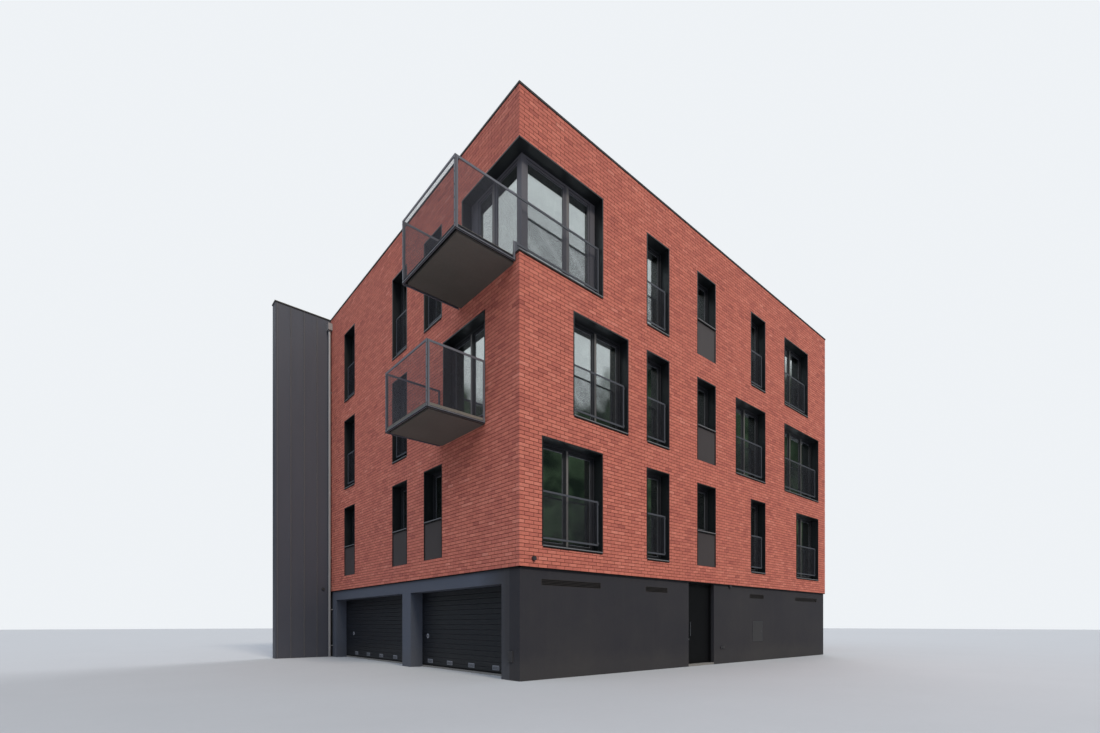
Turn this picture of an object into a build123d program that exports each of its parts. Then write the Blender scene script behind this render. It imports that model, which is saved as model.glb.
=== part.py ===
from build123d import *
import os

os.makedirs("parts", exist_ok=True)

# Sizes are in millimetres. X runs along the entrance front, Y from the entrance front to the
# back, and the origin is the middle of the footprint at ground level.
storey = 3000
storeys = 3

# Brick walls above a rendered plinth
wall = 400
brick_bottom = 2380
plinth_setback = 40

# Window openings: whole panes wide, one height for all
pane = 915
first_sill = 2875
opening_height = 2300
sill_plate = 20
spandrel_height = 980
parapet_rise = 1085

# Brickwork between the columns of openings on the entrance front, from the corner
pier_corner = 617
pier_ab = 741
pier_bc = 1329
pier_cd = 1154
pier_de = 1381
pier_end = 628

# Brickwork between the columns of openings on the garage side, from the corner
pier_j = 1263
pier_jh = 88
pier_hg = 1021
pier_gf = 2940
pier_fin = 1413

# Unseen sides: evenly spaced columns of openings
rear_bays = 4
side_bays = 3

# Glazed corner of the top storey: how far it reaches and where its casements stand
corner_front = 2463
corner_side = 2207
corner_front_casements = ((375, 1504), (1583, 2299))
corner_side_casements = ((380, 1223), (1304, 1929))

# Window frames, their metal linings and their glass
frame_setback = 250
frame_depth = 80
frame_edge = 60
frame_post = 60
sash = 50
sash_rebate = 12
lining = 12
board_joint = 1
glass_setback = 285
glass_thickness = 28
sill_nose = 25
sill_lip_height = 45
sill_lip_thickness = 5
panel_setback = 8
panel_depth = 200

# Guard railings in the openings
guard_height = 1200
guard_lift = 150
guard_setback = 90
guard_bar = 40
guard_thickness = 14
guard_fixing = 20

# Balconies on the garage side
balcony_projection = 1450
balcony_slab = 110
balcony_rim = 50
balcony_drip = 70
upper_drop = 101
upper_start = 105
upper_past_corner_window = 138
lower_drop = 133
lower_before_door = 44
lower_past_door = 144
railing_height = 1293
railing_post = 45
railing_thickness = 20
railing_joint = 2

# Floors and roof
floor_thickness = 250
floor_below_sill = 75
ground_thickness = 50
roof_thickness = 250
roof_build_up = 180
roof_below_parapet = 400

# Garages on the left side
near_pier = 687
near_garage = 4291
middle_column = 512
far_pier = 470
garage_height = 2050
garage_leaf_gap = 15
garage_leaf_thickness = 45
garage_leaf_lap = 60
rib_pitch = 125
rib_groove = 10
track_width = 60
track_depth = 120
garage_vents = 4
garage_vent_width = 270
garage_vent_height = 105
garage_vent_lift = 75
garage_vent_thickness = 8
near_before_first_vent = 735
near_past_last_vent = 436
far_before_first_vent = 1270
far_past_last_vent = 950
garage_lock_height = 860
near_past_lock = 298
far_past_lock = 680
garage_lock_radius = 65

# Entrance under the third column of windows
entrance_before_column = 363
entrance_width = 1271
entrance_setback = 160
entrance_frame_edge = 60
entrance_gap = 8
entrance_leaf = 60
frame_short_of_leaf = 6
threshold_height = 60
door_stop = 20
handle_height = 1050
handle_length = 400
handle_size = 25
handle_standoff = 60
handle_inset = 90
hinge_heights = (350, 1200, 2050)
hinge_length = 60
hinge_pin = 6
hinge_sleeve = 11
hinge_clearance = 0.3
hinge_play = 1
hinge_plate = 6

# Fin wall at the far end of the garage side
fin_projection = 1856
fin_thickness = 350
cladding = 12
seam_first = 495
seam_pitch = 436
seam_width = 14
seam_height = 28

# Coping, rainwater and small fittings
coping_height = 45
coping_overhang = 20
coping_gap = 4
pipe_diameter = 90
pipe_offset = 75
pipe_from_fin = 90
hopper_width = 220
hopper_depth = 150
hopper_height = 240
hopper_below_parapet = 170
bracket_height = 30
bracket_ring = 5
bracket_heights = (400, 1700, 3600, 6600, 9600)
vent_height = 140
vent_below_brick = 225
vent_depth = 60
vent_slats = 4
hatch_after_column = 181
hatch_width = 641
hatch_height = 643
hatch_bottom = 635
hatch_thickness = 12
lamp_radius = 45
lamp_depth = 60
lamp_corner_x = 367
lamp_corner_rise = 179
lamp_after_entrance = 851
lamp_below_brick = 50
lamp_on_fin = 273
lamp_fin_rise = 77
side_box = (266, 385, 428, 617)
front_box = (7590, 458, 7800, 520)
box_depth = 25

# Columns of openings and overall sizes, worked out from the sizes above
column_a = pier_corner
column_b = column_a + 3 * pane + pier_ab
column_c = column_b + pane + pier_bc
column_d = column_c + 2 * pane + pier_cd
column_e = column_d + pane + pier_de
length = column_e + 3 * pane + pier_end
column_j = pier_j
column_h = column_j + 2 * pane + pier_jh
column_g = column_h + pane + pier_hg
column_f = column_g + pane + pier_gf
fin_start = column_f + pane + pier_fin
depth = fin_start + fin_thickness
left_face = -length / 2
right_face = length / 2
front_face = -depth / 2
back_face = depth / 2

# Each facade is a plane with its own x along the wall and y upwards, and the direction inwards
front = (Plane(origin=(left_face, front_face, 0), x_dir=(1, 0, 0), z_dir=(0, -1, 0)), -1)
back = (Plane(origin=(left_face, back_face, 0), x_dir=(1, 0, 0), z_dir=(0, -1, 0)), 1)
left = (Plane(origin=(left_face, front_face, 0), x_dir=(0, 1, 0), z_dir=(1, 0, 0)), 1)
right = (Plane(origin=(right_face, front_face, 0), x_dir=(0, 1, 0), z_dir=(1, 0, 0)), -1)


def sill(level):
    """Height of the window sills of a storey, counted from 1."""
    return first_sill + (level - 1) * storey


parapet_top = sill(storeys) + opening_height + parapet_rise
total_height = parapet_top + coping_height


def opening(start, panes, level, kind="guard"):
    """A window opening: its two sides, its storey, its panes and what stands in its lower part."""
    return {"start": start, "end": start + panes * pane, "level": level, "panes": panes, "kind": kind}


def flat(boxes):
    """Flat rectangles (x0, z0, x1, z1) for a sketch."""
    faces = []
    for x0, z0, x1, z1 in boxes:
        centre = Pos((x0 + x1) / 2, (z0 + z1) / 2)
        faces.append(centre * Rectangle(x1 - x0, z1 - z0, mode=Mode.PRIVATE))
    return faces


def rectangles(facade, boxes, near, far, holes=(), mode=Mode.ADD):
    """Extrude rectangles (x0, z0, x1, z1) with holes, from near to far behind a facade's face."""
    plane, inward = facade
    with BuildSketch(plane.offset(inward * near)) as outline:
        add(flat(boxes))
        if holes:
            add(flat(holes), mode=Mode.SUBTRACT)
    extrude(outline.sketch, amount=inward * (far - near), mode=mode)


def window_foot(window):
    """Foot of the window frame: on the sill, or on the spandrel panel's own sill."""
    raised = spandrel_height if window["kind"] == "spandrel" else 0
    return sill(window["level"]) + raised


def window_head(window):
    """Top of a window opening."""
    return sill(window["level"]) + opening_height


def casements(window):
    """The rectangles inside the outer frame, one for each pane."""
    clear = window["end"] - window["start"] - 2 * frame_edge - (window["panes"] - 1) * frame_post
    width = clear / window["panes"]
    boxes = []
    low = window_foot(window) + frame_edge
    high = window_head(window) - frame_edge
    for n in range(window["panes"]):
        start = window["start"] + frame_edge + n * (width + frame_post)
        boxes.append((start, low, start + width, high))
    return boxes


def inside(boxes, edge):
    """Rectangles drawn in by an edge all round."""
    return [(x0 + edge, z0 + edge, x1 - edge, z1 - edge) for x0, z0, x1, z1 in boxes]


def piers(windows, run_start, run_end):
    """The brickwork between the openings, storey by storey."""
    boxes = []
    for level in range(1, storeys + 1):
        low = sill(level) - sill_plate
        high = sill(level) + opening_height
        start = run_start
        for window in sorted((w for w in windows if w["level"] == level), key=lambda w: w["start"]):
            if window["start"] > start:
                boxes.append((start, low, window["start"], high))
            start = window["end"]
        boxes.append((start, low, run_end, high))
    return boxes


def bands(run_start, run_end):
    """The brickwork that runs the whole length, under, between and over the rows of openings."""
    heights = [(brick_bottom, sill(1) - sill_plate)]
    for level in range(1, storeys):
        heights.append((sill(level) + opening_height, sill(level + 1) - sill_plate))
    heights.append((sill(storeys) + opening_height, parapet_top))
    return [(run_start, low, run_end, high) for low, high in heights]


def guards(facade, windows):
    """One flat-bar guard in each opening that has one, with fixings that reach the linings."""
    outlines = []
    fixings = []
    for window in windows:
        if window["kind"] != "guard":
            continue
        low = sill(window["level"]) + guard_lift
        high = sill(window["level"]) + guard_height
        jamb_start = window["start"] + lining
        jamb_end = window["end"] - lining
        outlines.append((jamb_start + guard_fixing, low, jamb_end - guard_fixing, high))
        for height in (low + guard_bar, high - 2 * guard_bar):
            fixings.append((jamb_start, height, jamb_start + guard_fixing, height + guard_bar))
            fixings.append((jamb_end - guard_fixing, height, jamb_end, height + guard_bar))
    openings = inside(outlines, guard_bar)
    rectangles(facade, outlines + fixings, guard_setback, guard_setback + guard_thickness, openings)


def frames(facade, outlines, leaves):
    """Window frames: the outer frames, and a sash just behind their face round each pane."""
    frame_back = frame_setback + frame_depth
    rectangles(facade, outlines, frame_setback, frame_setback + sash_rebate, leaves)
    rectangles(facade, outlines, frame_setback + sash_rebate, frame_back, inside(leaves, sash))


def window_frames(facade, windows):
    """The frames of ordinary windows."""
    outlines = [(w["start"], window_foot(w), w["end"], window_head(w)) for w in windows]
    frames(facade, outlines, [box for window in windows for box in casements(window)])


def glazing(facade, leaves):
    """One pane of glass in each sash."""
    rectangles(facade, inside(leaves, sash), glass_setback, glass_setback + glass_thickness)


def linings(facade, windows):
    """Metal boards on the two sides and the head of each reveal, from the frame to the face."""
    boards = []
    for window in windows:
        start = window["start"]
        end = window["end"]
        foot = window_foot(window)
        head = window_head(window)
        boards.append((start, foot, start + lining, head))
        boards.append((end - lining, foot, end, head))
        boards.append((start + lining + board_joint, head - lining, end - lining - board_joint, head))
    rectangles(facade, boards, 0, frame_setback)


def bays(run, count):
    """Starts of evenly spaced one-pane openings along a wall."""
    return [(n + 0.5) * run / count - pane / 2 for n in range(count)]


front_windows = [
    opening(column_a, 2, 1),
    opening(column_a + pane, 2, 2),
    opening(column_d, 1, 1),
    opening(column_d - pane, 2, 2),
    opening(column_d, 1, 3),
    opening(column_e + pane, 2, 1),
    opening(column_e, 3, 2),
    opening(column_e, 2, 3),
]
front_windows += [opening(column_b, 1, level) for level in range(1, storeys + 1)]
front_windows += [opening(column_c, 1, level, "spandrel") for level in range(1, storeys + 1)]
left_windows = [
    opening(column_j, 2, 2, "balcony"),
    opening(column_h, 1, 1, "spandrel"),
    opening(column_h, 1, 3),
    opening(column_g, 1, 1, "spandrel"),
    opening(column_g, 1, 2),
    opening(column_g, 1, 3),
    opening(column_f, 1, 1, "spandrel"),
    opening(column_f, 1, 2),
    opening(column_f, 1, 3),
]
back_windows = [opening(x, 1, level) for x in bays(length, rear_bays) for level in range(1, storeys + 1)]
right_windows = [opening(y, 1, level) for y in bays(depth, side_bays) for level in range(1, storeys + 1)]
corner_front_hole = {"start": 0, "end": corner_front, "level": storeys}
corner_side_hole = {"start": 0, "end": corner_side, "level": storeys}
front_leaves = [box for window in front_windows for box in casements(window)]
left_leaves = [box for window in left_windows for box in casements(window)]
back_leaves = [box for window in back_windows for box in casements(window)]
right_leaves = [box for window in right_windows for box in casements(window)]
entrance_start = column_c - entrance_before_column
entrance_end = entrance_start + entrance_width
garage_near = near_pier
garage_column_start = garage_near + near_garage
garage_column_end = garage_column_start + middle_column
garage_far = fin_start - far_pier
vent_top = brick_bottom - vent_below_brick
hatch_start = column_d + hatch_after_column
hatch_hole = [(hatch_start, hatch_bottom, hatch_start + hatch_width, hatch_bottom + hatch_height)]

# Ground slab, on the ground inside the plinth walls
with BuildPart() as ground_slab:
    with BuildSketch():
        Rectangle(length - 2 * wall, depth - 2 * wall)
    extrude(amount=ground_thickness)
ground_slab.part.label = "ground_slab"
export_step(ground_slab.part, "parts/ground_slab.step")

# Rendered plinth of the front: one length on each side of the entrance
with BuildPart() as plinth_front:
    front_runs = [
        (plinth_setback, 0, entrance_start, brick_bottom),
        (entrance_end, 0, length - plinth_setback, brick_bottom),
    ]
    rectangles(front, front_runs, plinth_setback, wall)
    vents = [
        (column_a, vent_top - vent_height, column_a + 2 * pane, vent_top),
        (column_b, vent_top - vent_height, column_b + pane, vent_top),
        (column_d, vent_top - vent_height, column_d + pane, vent_top),
        (column_e + pane, vent_top - vent_height, column_e + 3 * pane, vent_top),
    ]
    rectangles(front, vents, plinth_setback, plinth_setback + vent_depth, mode=Mode.SUBTRACT)
    hatch_recess = plinth_setback + hatch_thickness
    rectangles(front, hatch_hole, plinth_setback, hatch_recess, mode=Mode.SUBTRACT)
plinth_front.part.label = "plinth_front"
export_step(plinth_front.part, "parts/plinth_front.step")

# Plinth of the right side, between the front and the back walls
with BuildPart() as plinth_right:
    rectangles(right, [(wall, 0, depth - wall, brick_bottom)], plinth_setback, wall)
plinth_right.part.label = "plinth_right"
export_step(plinth_right.part, "parts/plinth_right.step")

# Plinth of the back
with BuildPart() as plinth_back:
    back_run = [(plinth_setback, 0, length - plinth_setback, brick_bottom)]
    rectangles(back, back_run, plinth_setback, wall)
plinth_back.part.label = "plinth_back"
export_step(plinth_back.part, "parts/plinth_back.step")

# Garage side: two end piers and the column between the two doors
with BuildPart() as garage_piers:
    garage_posts = [
        (wall, 0, garage_near, brick_bottom),
        (garage_column_start, 0, garage_column_end, garage_height),
        (garage_far, 0, depth - wall, brick_bottom),
    ]
    rectangles(left, garage_posts, plinth_setback, wall)
garage_piers.part.label = "garage_piers"
export_step(garage_piers.part, "parts/garage_piers.step")

# Beam over both garage openings
with BuildPart() as garage_beam:
    rectangles(left, [(garage_near, garage_height, garage_far, brick_bottom)], plinth_setback, wall)
garage_beam.part.label = "garage_beam"
export_step(garage_beam.part, "parts/garage_beam.step")

# Ribbed garage doors, standing on the slab behind the beam
garage_leaf_top = garage_height + garage_leaf_lap
garage_leaf_face = wall + garage_leaf_gap


def garage_leaf(start, end):
    """One ribbed door leaf between two sides of the garage front."""
    leaf_height = garage_leaf_top - ground_thickness
    corner = (left_face + garage_leaf_face, front_face + start, ground_thickness)
    ribs = int(leaf_height / rib_pitch)
    with BuildSketch(Plane(origin=corner, x_dir=(1, 0, 0), z_dir=(0, -1, 0))) as profile:
        with Locations((garage_leaf_thickness / 2, leaf_height / 2)):
            Rectangle(garage_leaf_thickness, leaf_height)
        with Locations(*[(0, n * rib_pitch) for n in range(1, ribs + 1)]):
            RegularPolygon(radius=rib_groove, side_count=4, rotation=0, mode=Mode.SUBTRACT)
    extrude(profile.sketch, amount=start - end)


with BuildPart() as garage_doors:
    garage_leaf(garage_near, garage_column_start)
    garage_leaf(garage_column_end, garage_far)
garage_doors.part.label = "garage_doors"
export_step(garage_doors.part, "parts/garage_doors.step")

# Vent plates along the foot of the garage doors, and a round lock plate on each
with BuildPart() as garage_door_plates:
    plates = []
    vent_low = ground_thickness + garage_vent_lift
    vent_rows = (
        (garage_near + near_before_first_vent, garage_column_start - near_past_last_vent),
        (garage_column_end + far_before_first_vent, garage_far - far_past_last_vent),
    )
    for first, last in vent_rows:
        vent_pitch = (last - first) / (garage_vents - 1)
        for n in range(garage_vents):
            y = first + n * vent_pitch - garage_vent_width / 2
            plates.append((y, vent_low, y + garage_vent_width, vent_low + garage_vent_height))
    rectangles(left, plates, garage_leaf_face - garage_vent_thickness, garage_leaf_face)
    with BuildSketch(left[0].offset(garage_leaf_face - garage_vent_thickness)):
        with Locations((garage_column_start - near_past_lock, garage_lock_height)):
            Circle(garage_lock_radius)
        with Locations((garage_far - far_past_lock, garage_lock_height)):
            Circle(garage_lock_radius)
    extrude(amount=garage_vent_thickness)
garage_door_plates.part.label = "garage_door_plates"
export_step(garage_door_plates.part, "parts/garage_door_plates.step")

# Upright guide tracks at both sides of each garage door, against the inner faces of the piers
with BuildPart() as garage_door_tracks:
    track_starts = (
        garage_near - track_width,
        garage_column_start,
        garage_column_end - track_width,
        garage_far,
    )
    track_boxes = [(y, ground_thickness, y + track_width, garage_leaf_top) for y in track_starts]
    rectangles(left, track_boxes, wall, wall + track_depth)
garage_door_tracks.part.label = "garage_door_tracks"
export_step(garage_door_tracks.part, "parts/garage_door_tracks.step")

# Entrance: threshold, frame of three bars with an outer stop, leaf and handle
with BuildPart() as door_threshold:
    step = [(entrance_start, 0, entrance_end, threshold_height)]
    rectangles(front, step, plinth_setback, wall)
door_threshold.part.label = "door_threshold"
export_step(door_threshold.part, "parts/door_threshold.step")

stop_front = entrance_setback - entrance_gap - door_stop
stop_back = entrance_setback - entrance_gap
frame_back = entrance_setback + entrance_leaf - frame_short_of_leaf
clear_left = entrance_start + entrance_frame_edge
clear_right = entrance_end - entrance_frame_edge
clear_top = brick_bottom - entrance_frame_edge
leaf_left = clear_left + entrance_gap
leaf_right = clear_right - entrance_gap
leaf_bottom = threshold_height + entrance_gap
leaf_top = clear_top - entrance_gap
hinge_x = clear_right - entrance_gap / 2
hinge_y = entrance_setback + entrance_leaf + hinge_sleeve

with BuildPart() as entrance_frame:
    jamb_top = clear_top - board_joint
    lintel_bar = (entrance_start, clear_top, entrance_end, brick_bottom)
    bars = [
        (entrance_start, threshold_height, clear_left, jamb_top),
        (clear_right, threshold_height, entrance_end, jamb_top),
        lintel_bar,
    ]
    rectangles(front, bars, stop_front, frame_back)
    stops = [
        (clear_left, threshold_height, clear_left + door_stop, jamb_top),
        (clear_right - door_stop, threshold_height, clear_right, jamb_top),
    ]
    rectangles(front, stops, stop_front, stop_back)
    for height in hinge_heights:
        base = Plane(origin=(left_face + hinge_x, front_face + hinge_y, height), z_dir=(0, 0, 1))
        with BuildSketch(base.offset(-hinge_length)):
            Circle(hinge_pin)
        extrude(amount=2 * hinge_length)
        plate = (hinge_x, height - hinge_length, hinge_x + 2 * entrance_gap, height - hinge_play)
        rectangles(front, [plate], frame_back, hinge_y + hinge_plate / 2)
entrance_frame.part.label = "entrance_frame"
export_step(entrance_frame.part, "parts/entrance_frame.step")

with BuildPart() as entrance_door:
    leaf = [(leaf_left, leaf_bottom, leaf_right, leaf_top)]
    rectangles(front, leaf, entrance_setback, entrance_setback + entrance_leaf)
    for height in hinge_heights:
        base = Plane(origin=(left_face + hinge_x, front_face + hinge_y, height), z_dir=(0, 0, 1))
        with BuildSketch(base):
            Circle(hinge_sleeve)
            with Locations((-hinge_sleeve, -hinge_sleeve / 2)):
                Rectangle(2 * hinge_sleeve, hinge_sleeve)
            Circle(hinge_pin + hinge_clearance, mode=Mode.SUBTRACT)
        extrude(amount=hinge_length)
entrance_door.part.label = "entrance_door"
export_step(entrance_door.part, "parts/entrance_door.step")

with BuildPart() as entrance_handle:
    grip_left = leaf_left + handle_inset
    grip_right = grip_left + handle_size
    grip_front = entrance_setback - handle_standoff
    grip = [(grip_left, handle_height - handle_length / 2, grip_right, handle_height + handle_length / 2)]
    rectangles(front, grip, grip_front, grip_front + handle_size)
    stubs = []
    for height in (handle_height - handle_length / 3, handle_height + handle_length / 3):
        stubs.append((grip_left, height - handle_size / 2, grip_right, height + handle_size / 2))
    rectangles(front, stubs, grip_front, entrance_setback)
entrance_handle.part.label = "entrance_handle"
export_step(entrance_handle.part, "parts/entrance_handle.step")


# Concrete floors between the walls, one under each row of windows, and the roof
def slab(top, thickness):
    """A slab that fills the inside of the walls, given the height of its top."""
    with BuildSketch(Plane.XY.offset(top - thickness)) as plan:
        Rectangle(length - 2 * wall, depth - 2 * wall)
    extrude(plan.sketch, amount=thickness)


with BuildPart() as upper_floors:
    for level in range(1, storeys + 1):
        slab(sill(level) - floor_below_sill, floor_thickness)
upper_floors.part.label = "upper_floors"
export_step(upper_floors.part, "parts/upper_floors.step")

roof_top = parapet_top - roof_below_parapet
with BuildPart() as roof_slab:
    slab(roof_top - roof_build_up, roof_thickness)
roof_slab.part.label = "roof_slab"
export_step(roof_slab.part, "parts/roof_slab.step")

with BuildPart() as roof_covering:
    slab(roof_top, roof_build_up)
roof_covering.part.label = "roof_covering"
export_step(roof_covering.part, "parts/roof_covering.step")

# Brick walls: long bands of masonry, and piers between the openings
with BuildPart() as front_bands:
    rectangles(front, bands(0, length), 0, wall)
front_bands.part.label = "front_bands"
export_step(front_bands.part, "parts/front_bands.step")

with BuildPart() as front_piers:
    rectangles(front, piers(front_windows + [corner_front_hole], 0, length), 0, wall)
front_piers.part.label = "front_piers"
export_step(front_piers.part, "parts/front_piers.step")

with BuildPart() as left_bands:
    rectangles(left, bands(wall, depth - wall), 0, wall)
left_bands.part.label = "left_bands"
export_step(left_bands.part, "parts/left_bands.step")

with BuildPart() as left_piers:
    rectangles(left, piers(left_windows + [corner_side_hole], wall, depth - wall), 0, wall)
left_piers.part.label = "left_piers"
export_step(left_piers.part, "parts/left_piers.step")

with BuildPart() as right_bands:
    rectangles(right, bands(wall, depth - wall), 0, wall)
right_bands.part.label = "right_bands"
export_step(right_bands.part, "parts/right_bands.step")

with BuildPart() as right_piers:
    rectangles(right, piers(right_windows, wall, depth - wall), 0, wall)
right_piers.part.label = "right_piers"
export_step(right_piers.part, "parts/right_piers.step")

with BuildPart() as back_bands:
    rectangles(back, bands(0, length), 0, wall)
back_bands.part.label = "back_bands"
export_step(back_bands.part, "parts/back_bands.step")

with BuildPart() as back_piers:
    rectangles(back, piers(back_windows, 0, length), 0, wall)
back_piers.part.label = "back_piers"
export_step(back_piers.part, "parts/back_piers.step")

# Window frames, reveal linings and glass
with BuildPart() as front_frames:
    window_frames(front, front_windows)
front_frames.part.label = "front_frames"
export_step(front_frames.part, "parts/front_frames.step")

with BuildPart() as left_frames:
    window_frames(left, left_windows)
left_frames.part.label = "left_frames"
export_step(left_frames.part, "parts/left_frames.step")

with BuildPart() as rear_frames:
    window_frames(back, back_windows)
    window_frames(right, right_windows)
rear_frames.part.label = "rear_frames"
export_step(rear_frames.part, "parts/rear_frames.step")

with BuildPart() as front_linings:
    linings(front, front_windows)
front_linings.part.label = "front_linings"
export_step(front_linings.part, "parts/front_linings.step")

with BuildPart() as left_linings:
    linings(left, left_windows)
left_linings.part.label = "left_linings"
export_step(left_linings.part, "parts/left_linings.step")

with BuildPart() as rear_linings:
    linings(back, back_windows)
    linings(right, right_windows)
rear_linings.part.label = "rear_linings"
export_step(rear_linings.part, "parts/rear_linings.step")

with BuildPart() as front_glass:
    glazing(front, front_leaves)
front_glass.part.label = "front_glass"
export_step(front_glass.part, "parts/front_glass.step")

with BuildPart() as left_glass:
    glazing(left, left_leaves)
left_glass.part.label = "left_glass"
export_step(left_glass.part, "parts/left_glass.step")

with BuildPart() as rear_glass:
    glazing(back, back_leaves)
    glazing(right, right_leaves)
rear_glass.part.label = "rear_glass"
export_step(rear_glass.part, "parts/rear_glass.step")

# Glazed corner of the top storey: two frames that meet in a corner post behind the brick faces
corner_foot = sill(storeys)
corner_head = corner_foot + opening_height
frame_inner = frame_setback + frame_depth


def corner_leaves(spans):
    """The sashes of one side of the glazed corner."""
    return [(start, corner_foot + frame_edge, end, corner_head - frame_edge) for start, end in spans]


with BuildPart() as corner_frame:
    front_outline = [(frame_setback, corner_foot, corner_front, corner_head)]
    side_outline = [(frame_inner + board_joint, corner_foot, corner_side, corner_head)]
    frames(front, front_outline, corner_leaves(corner_front_casements))
    frames(left, side_outline, corner_leaves(corner_side_casements))
corner_frame.part.label = "corner_frame"
export_step(corner_frame.part, "parts/corner_frame.step")

with BuildPart() as corner_glass:
    glazing(front, corner_leaves(corner_front_casements))
    glazing(left, corner_leaves(corner_side_casements))
corner_glass.part.label = "corner_glass"
export_step(corner_glass.part, "parts/corner_glass.step")

# Linings of the glazed corner: a board at each end and two over it
with BuildPart() as corner_linings:
    soffit = corner_head - lining
    front_boards = [
        (corner_front - lining, corner_foot, corner_front, corner_head),
        (0, soffit, corner_front - lining - board_joint, corner_head),
    ]
    side_boards = [
        (corner_side - lining, corner_foot, corner_side, corner_head),
        (frame_setback + board_joint, soffit, corner_side - lining - board_joint, corner_head),
    ]
    rectangles(front, front_boards, 0, frame_setback)
    rectangles(left, side_boards, 0, frame_setback)
corner_linings.part.label = "corner_linings"
export_step(corner_linings.part, "parts/corner_linings.step")


def sills(facade, runs):
    """Sill plates of given starts, ends and tops, each with a lip turned down along its nose."""
    plates = [(start, top - sill_plate, end, top) for start, end, top in runs]
    lips = [(start, top - sill_lip_height, end, top) for start, end, top in runs]
    rectangles(facade, plates, -sill_nose, frame_inner)
    rectangles(facade, lips, -sill_nose, sill_lip_thickness - sill_nose)


def sill_runs(windows):
    """One sill at the foot of each window, on the brickwork or on a spandrel panel."""
    return [(window["start"], window["end"], window_foot(window)) for window in windows]


with BuildPart() as window_sills:
    sills(front, sill_runs(front_windows) + [(-sill_nose, corner_front, corner_foot)])
    end_lip = [(-sill_nose, corner_foot - sill_lip_height, frame_inner, corner_foot)]
    rectangles(left, end_lip, -sill_nose, sill_lip_thickness - sill_nose)
    sills(left, sill_runs(left_windows) + [(frame_inner + board_joint, corner_side, corner_foot)])
    sills(right, sill_runs(right_windows))
    sills(back, sill_runs(back_windows))
window_sills.part.label = "window_sills"
export_step(window_sills.part, "parts/window_sills.step")


def panel_boxes(windows):
    """Flush panels under the windows that have one."""
    boxes = []
    for window in windows:
        if window["kind"] == "spandrel":
            low = sill(window["level"]) - sill_plate
            boxes.append((window["start"], low, window["end"], window_foot(window) - sill_plate))
    return boxes


with BuildPart() as spandrel_panels:
    rectangles(front, panel_boxes(front_windows), panel_setback, panel_setback + panel_depth)
    rectangles(left, panel_boxes(left_windows), panel_setback, panel_setback + panel_depth)
spandrel_panels.part.label = "spandrel_panels"
export_step(spandrel_panels.part, "parts/spandrel_panels.step")

# Guard railings in the openings
with BuildPart() as front_guards:
    guards(front, front_windows)
front_guards.part.label = "front_guards"
export_step(front_guards.part, "parts/front_guards.step")

with BuildPart() as left_guards:
    guards(left, left_windows)
left_guards.part.label = "left_guards"
export_step(left_guards.part, "parts/left_guards.step")

with BuildPart() as rear_guards:
    guards(back, back_windows)
    guards(right, right_windows)
rear_guards.part.label = "rear_guards"
export_step(rear_guards.part, "parts/rear_guards.step")

# Balconies on the left side: a slab with a mesh railing on three sides
upper_end = corner_side + upper_past_corner_window
lower_start = column_j - lower_before_door
lower_end = column_j + 2 * pane + lower_past_door


def balcony(top, start, end):
    """The slab of one balcony: its rim meets the railing and its soffit is set in from it."""
    rim_low = top - balcony_rim
    near = railing_thickness - balcony_projection
    rectangles(left, [(start + railing_thickness, rim_low, end - railing_thickness, top)], near, 0)
    inset = railing_thickness + balcony_drip
    rectangles(left, [(start + inset, top - balcony_slab, end - inset, rim_low)], near + balcony_drip, 0)


def bar_frame(facade, start, end, foot, top, near, gaps=()):
    """One flat-bar railing frame, standing near behind the face of a facade, with gaps in its bars."""
    outline = [(start, foot, end, top)]
    holes = inside(outline, railing_post) + list(gaps)
    rectangles(facade, outline, near, near + railing_thickness, holes)


railing_outer = railing_thickness - balcony_projection + railing_joint
railing_inner = -sill_nose - railing_joint


def railing(floor, start, end, wall_post_top):
    """The three frames of one balcony, hung on its slab, and how high the near post at the wall is."""
    foot = floor - balcony_slab
    top = floor + railing_height
    bar_frame(left, start, end, foot, top, -balcony_projection)
    bar_frame(front, railing_outer, railing_inner, foot, top, end - railing_thickness)
    gaps = []
    if wall_post_top < top - railing_post:
        gaps.append((railing_inner - railing_post, wall_post_top, railing_inner, top - railing_post))
    bar_frame(front, railing_outer, railing_inner, foot, top, start, gaps)


upper_floor = sill(3) - upper_drop
lower_floor = sill(2) - lower_drop
corner_guard_foot = corner_foot + guard_lift

with BuildPart() as upper_balcony:
    balcony(upper_floor, upper_start, upper_end)
upper_balcony.part.label = "upper_balcony"
export_step(upper_balcony.part, "parts/upper_balcony.step")

# The near frame of the upper balcony has only a short post at the wall, as high as the lower bar
# of the corner window's guard, because its top rail runs on into that guard
with BuildPart() as upper_railing:
    railing(upper_floor, upper_start, upper_end, corner_guard_foot + railing_post)
upper_railing.part.label = "upper_railing"
export_step(upper_railing.part, "parts/upper_railing.step")

with BuildPart() as lower_balcony:
    balcony(lower_floor, lower_start, lower_end)
lower_balcony.part.label = "lower_balcony"
export_step(lower_balcony.part, "parts/lower_balcony.step")

with BuildPart() as lower_railing:
    railing(lower_floor, lower_start, lower_end, lower_floor + railing_height)
lower_railing.part.label = "lower_railing"
export_step(lower_railing.part, "parts/lower_railing.step")

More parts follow.
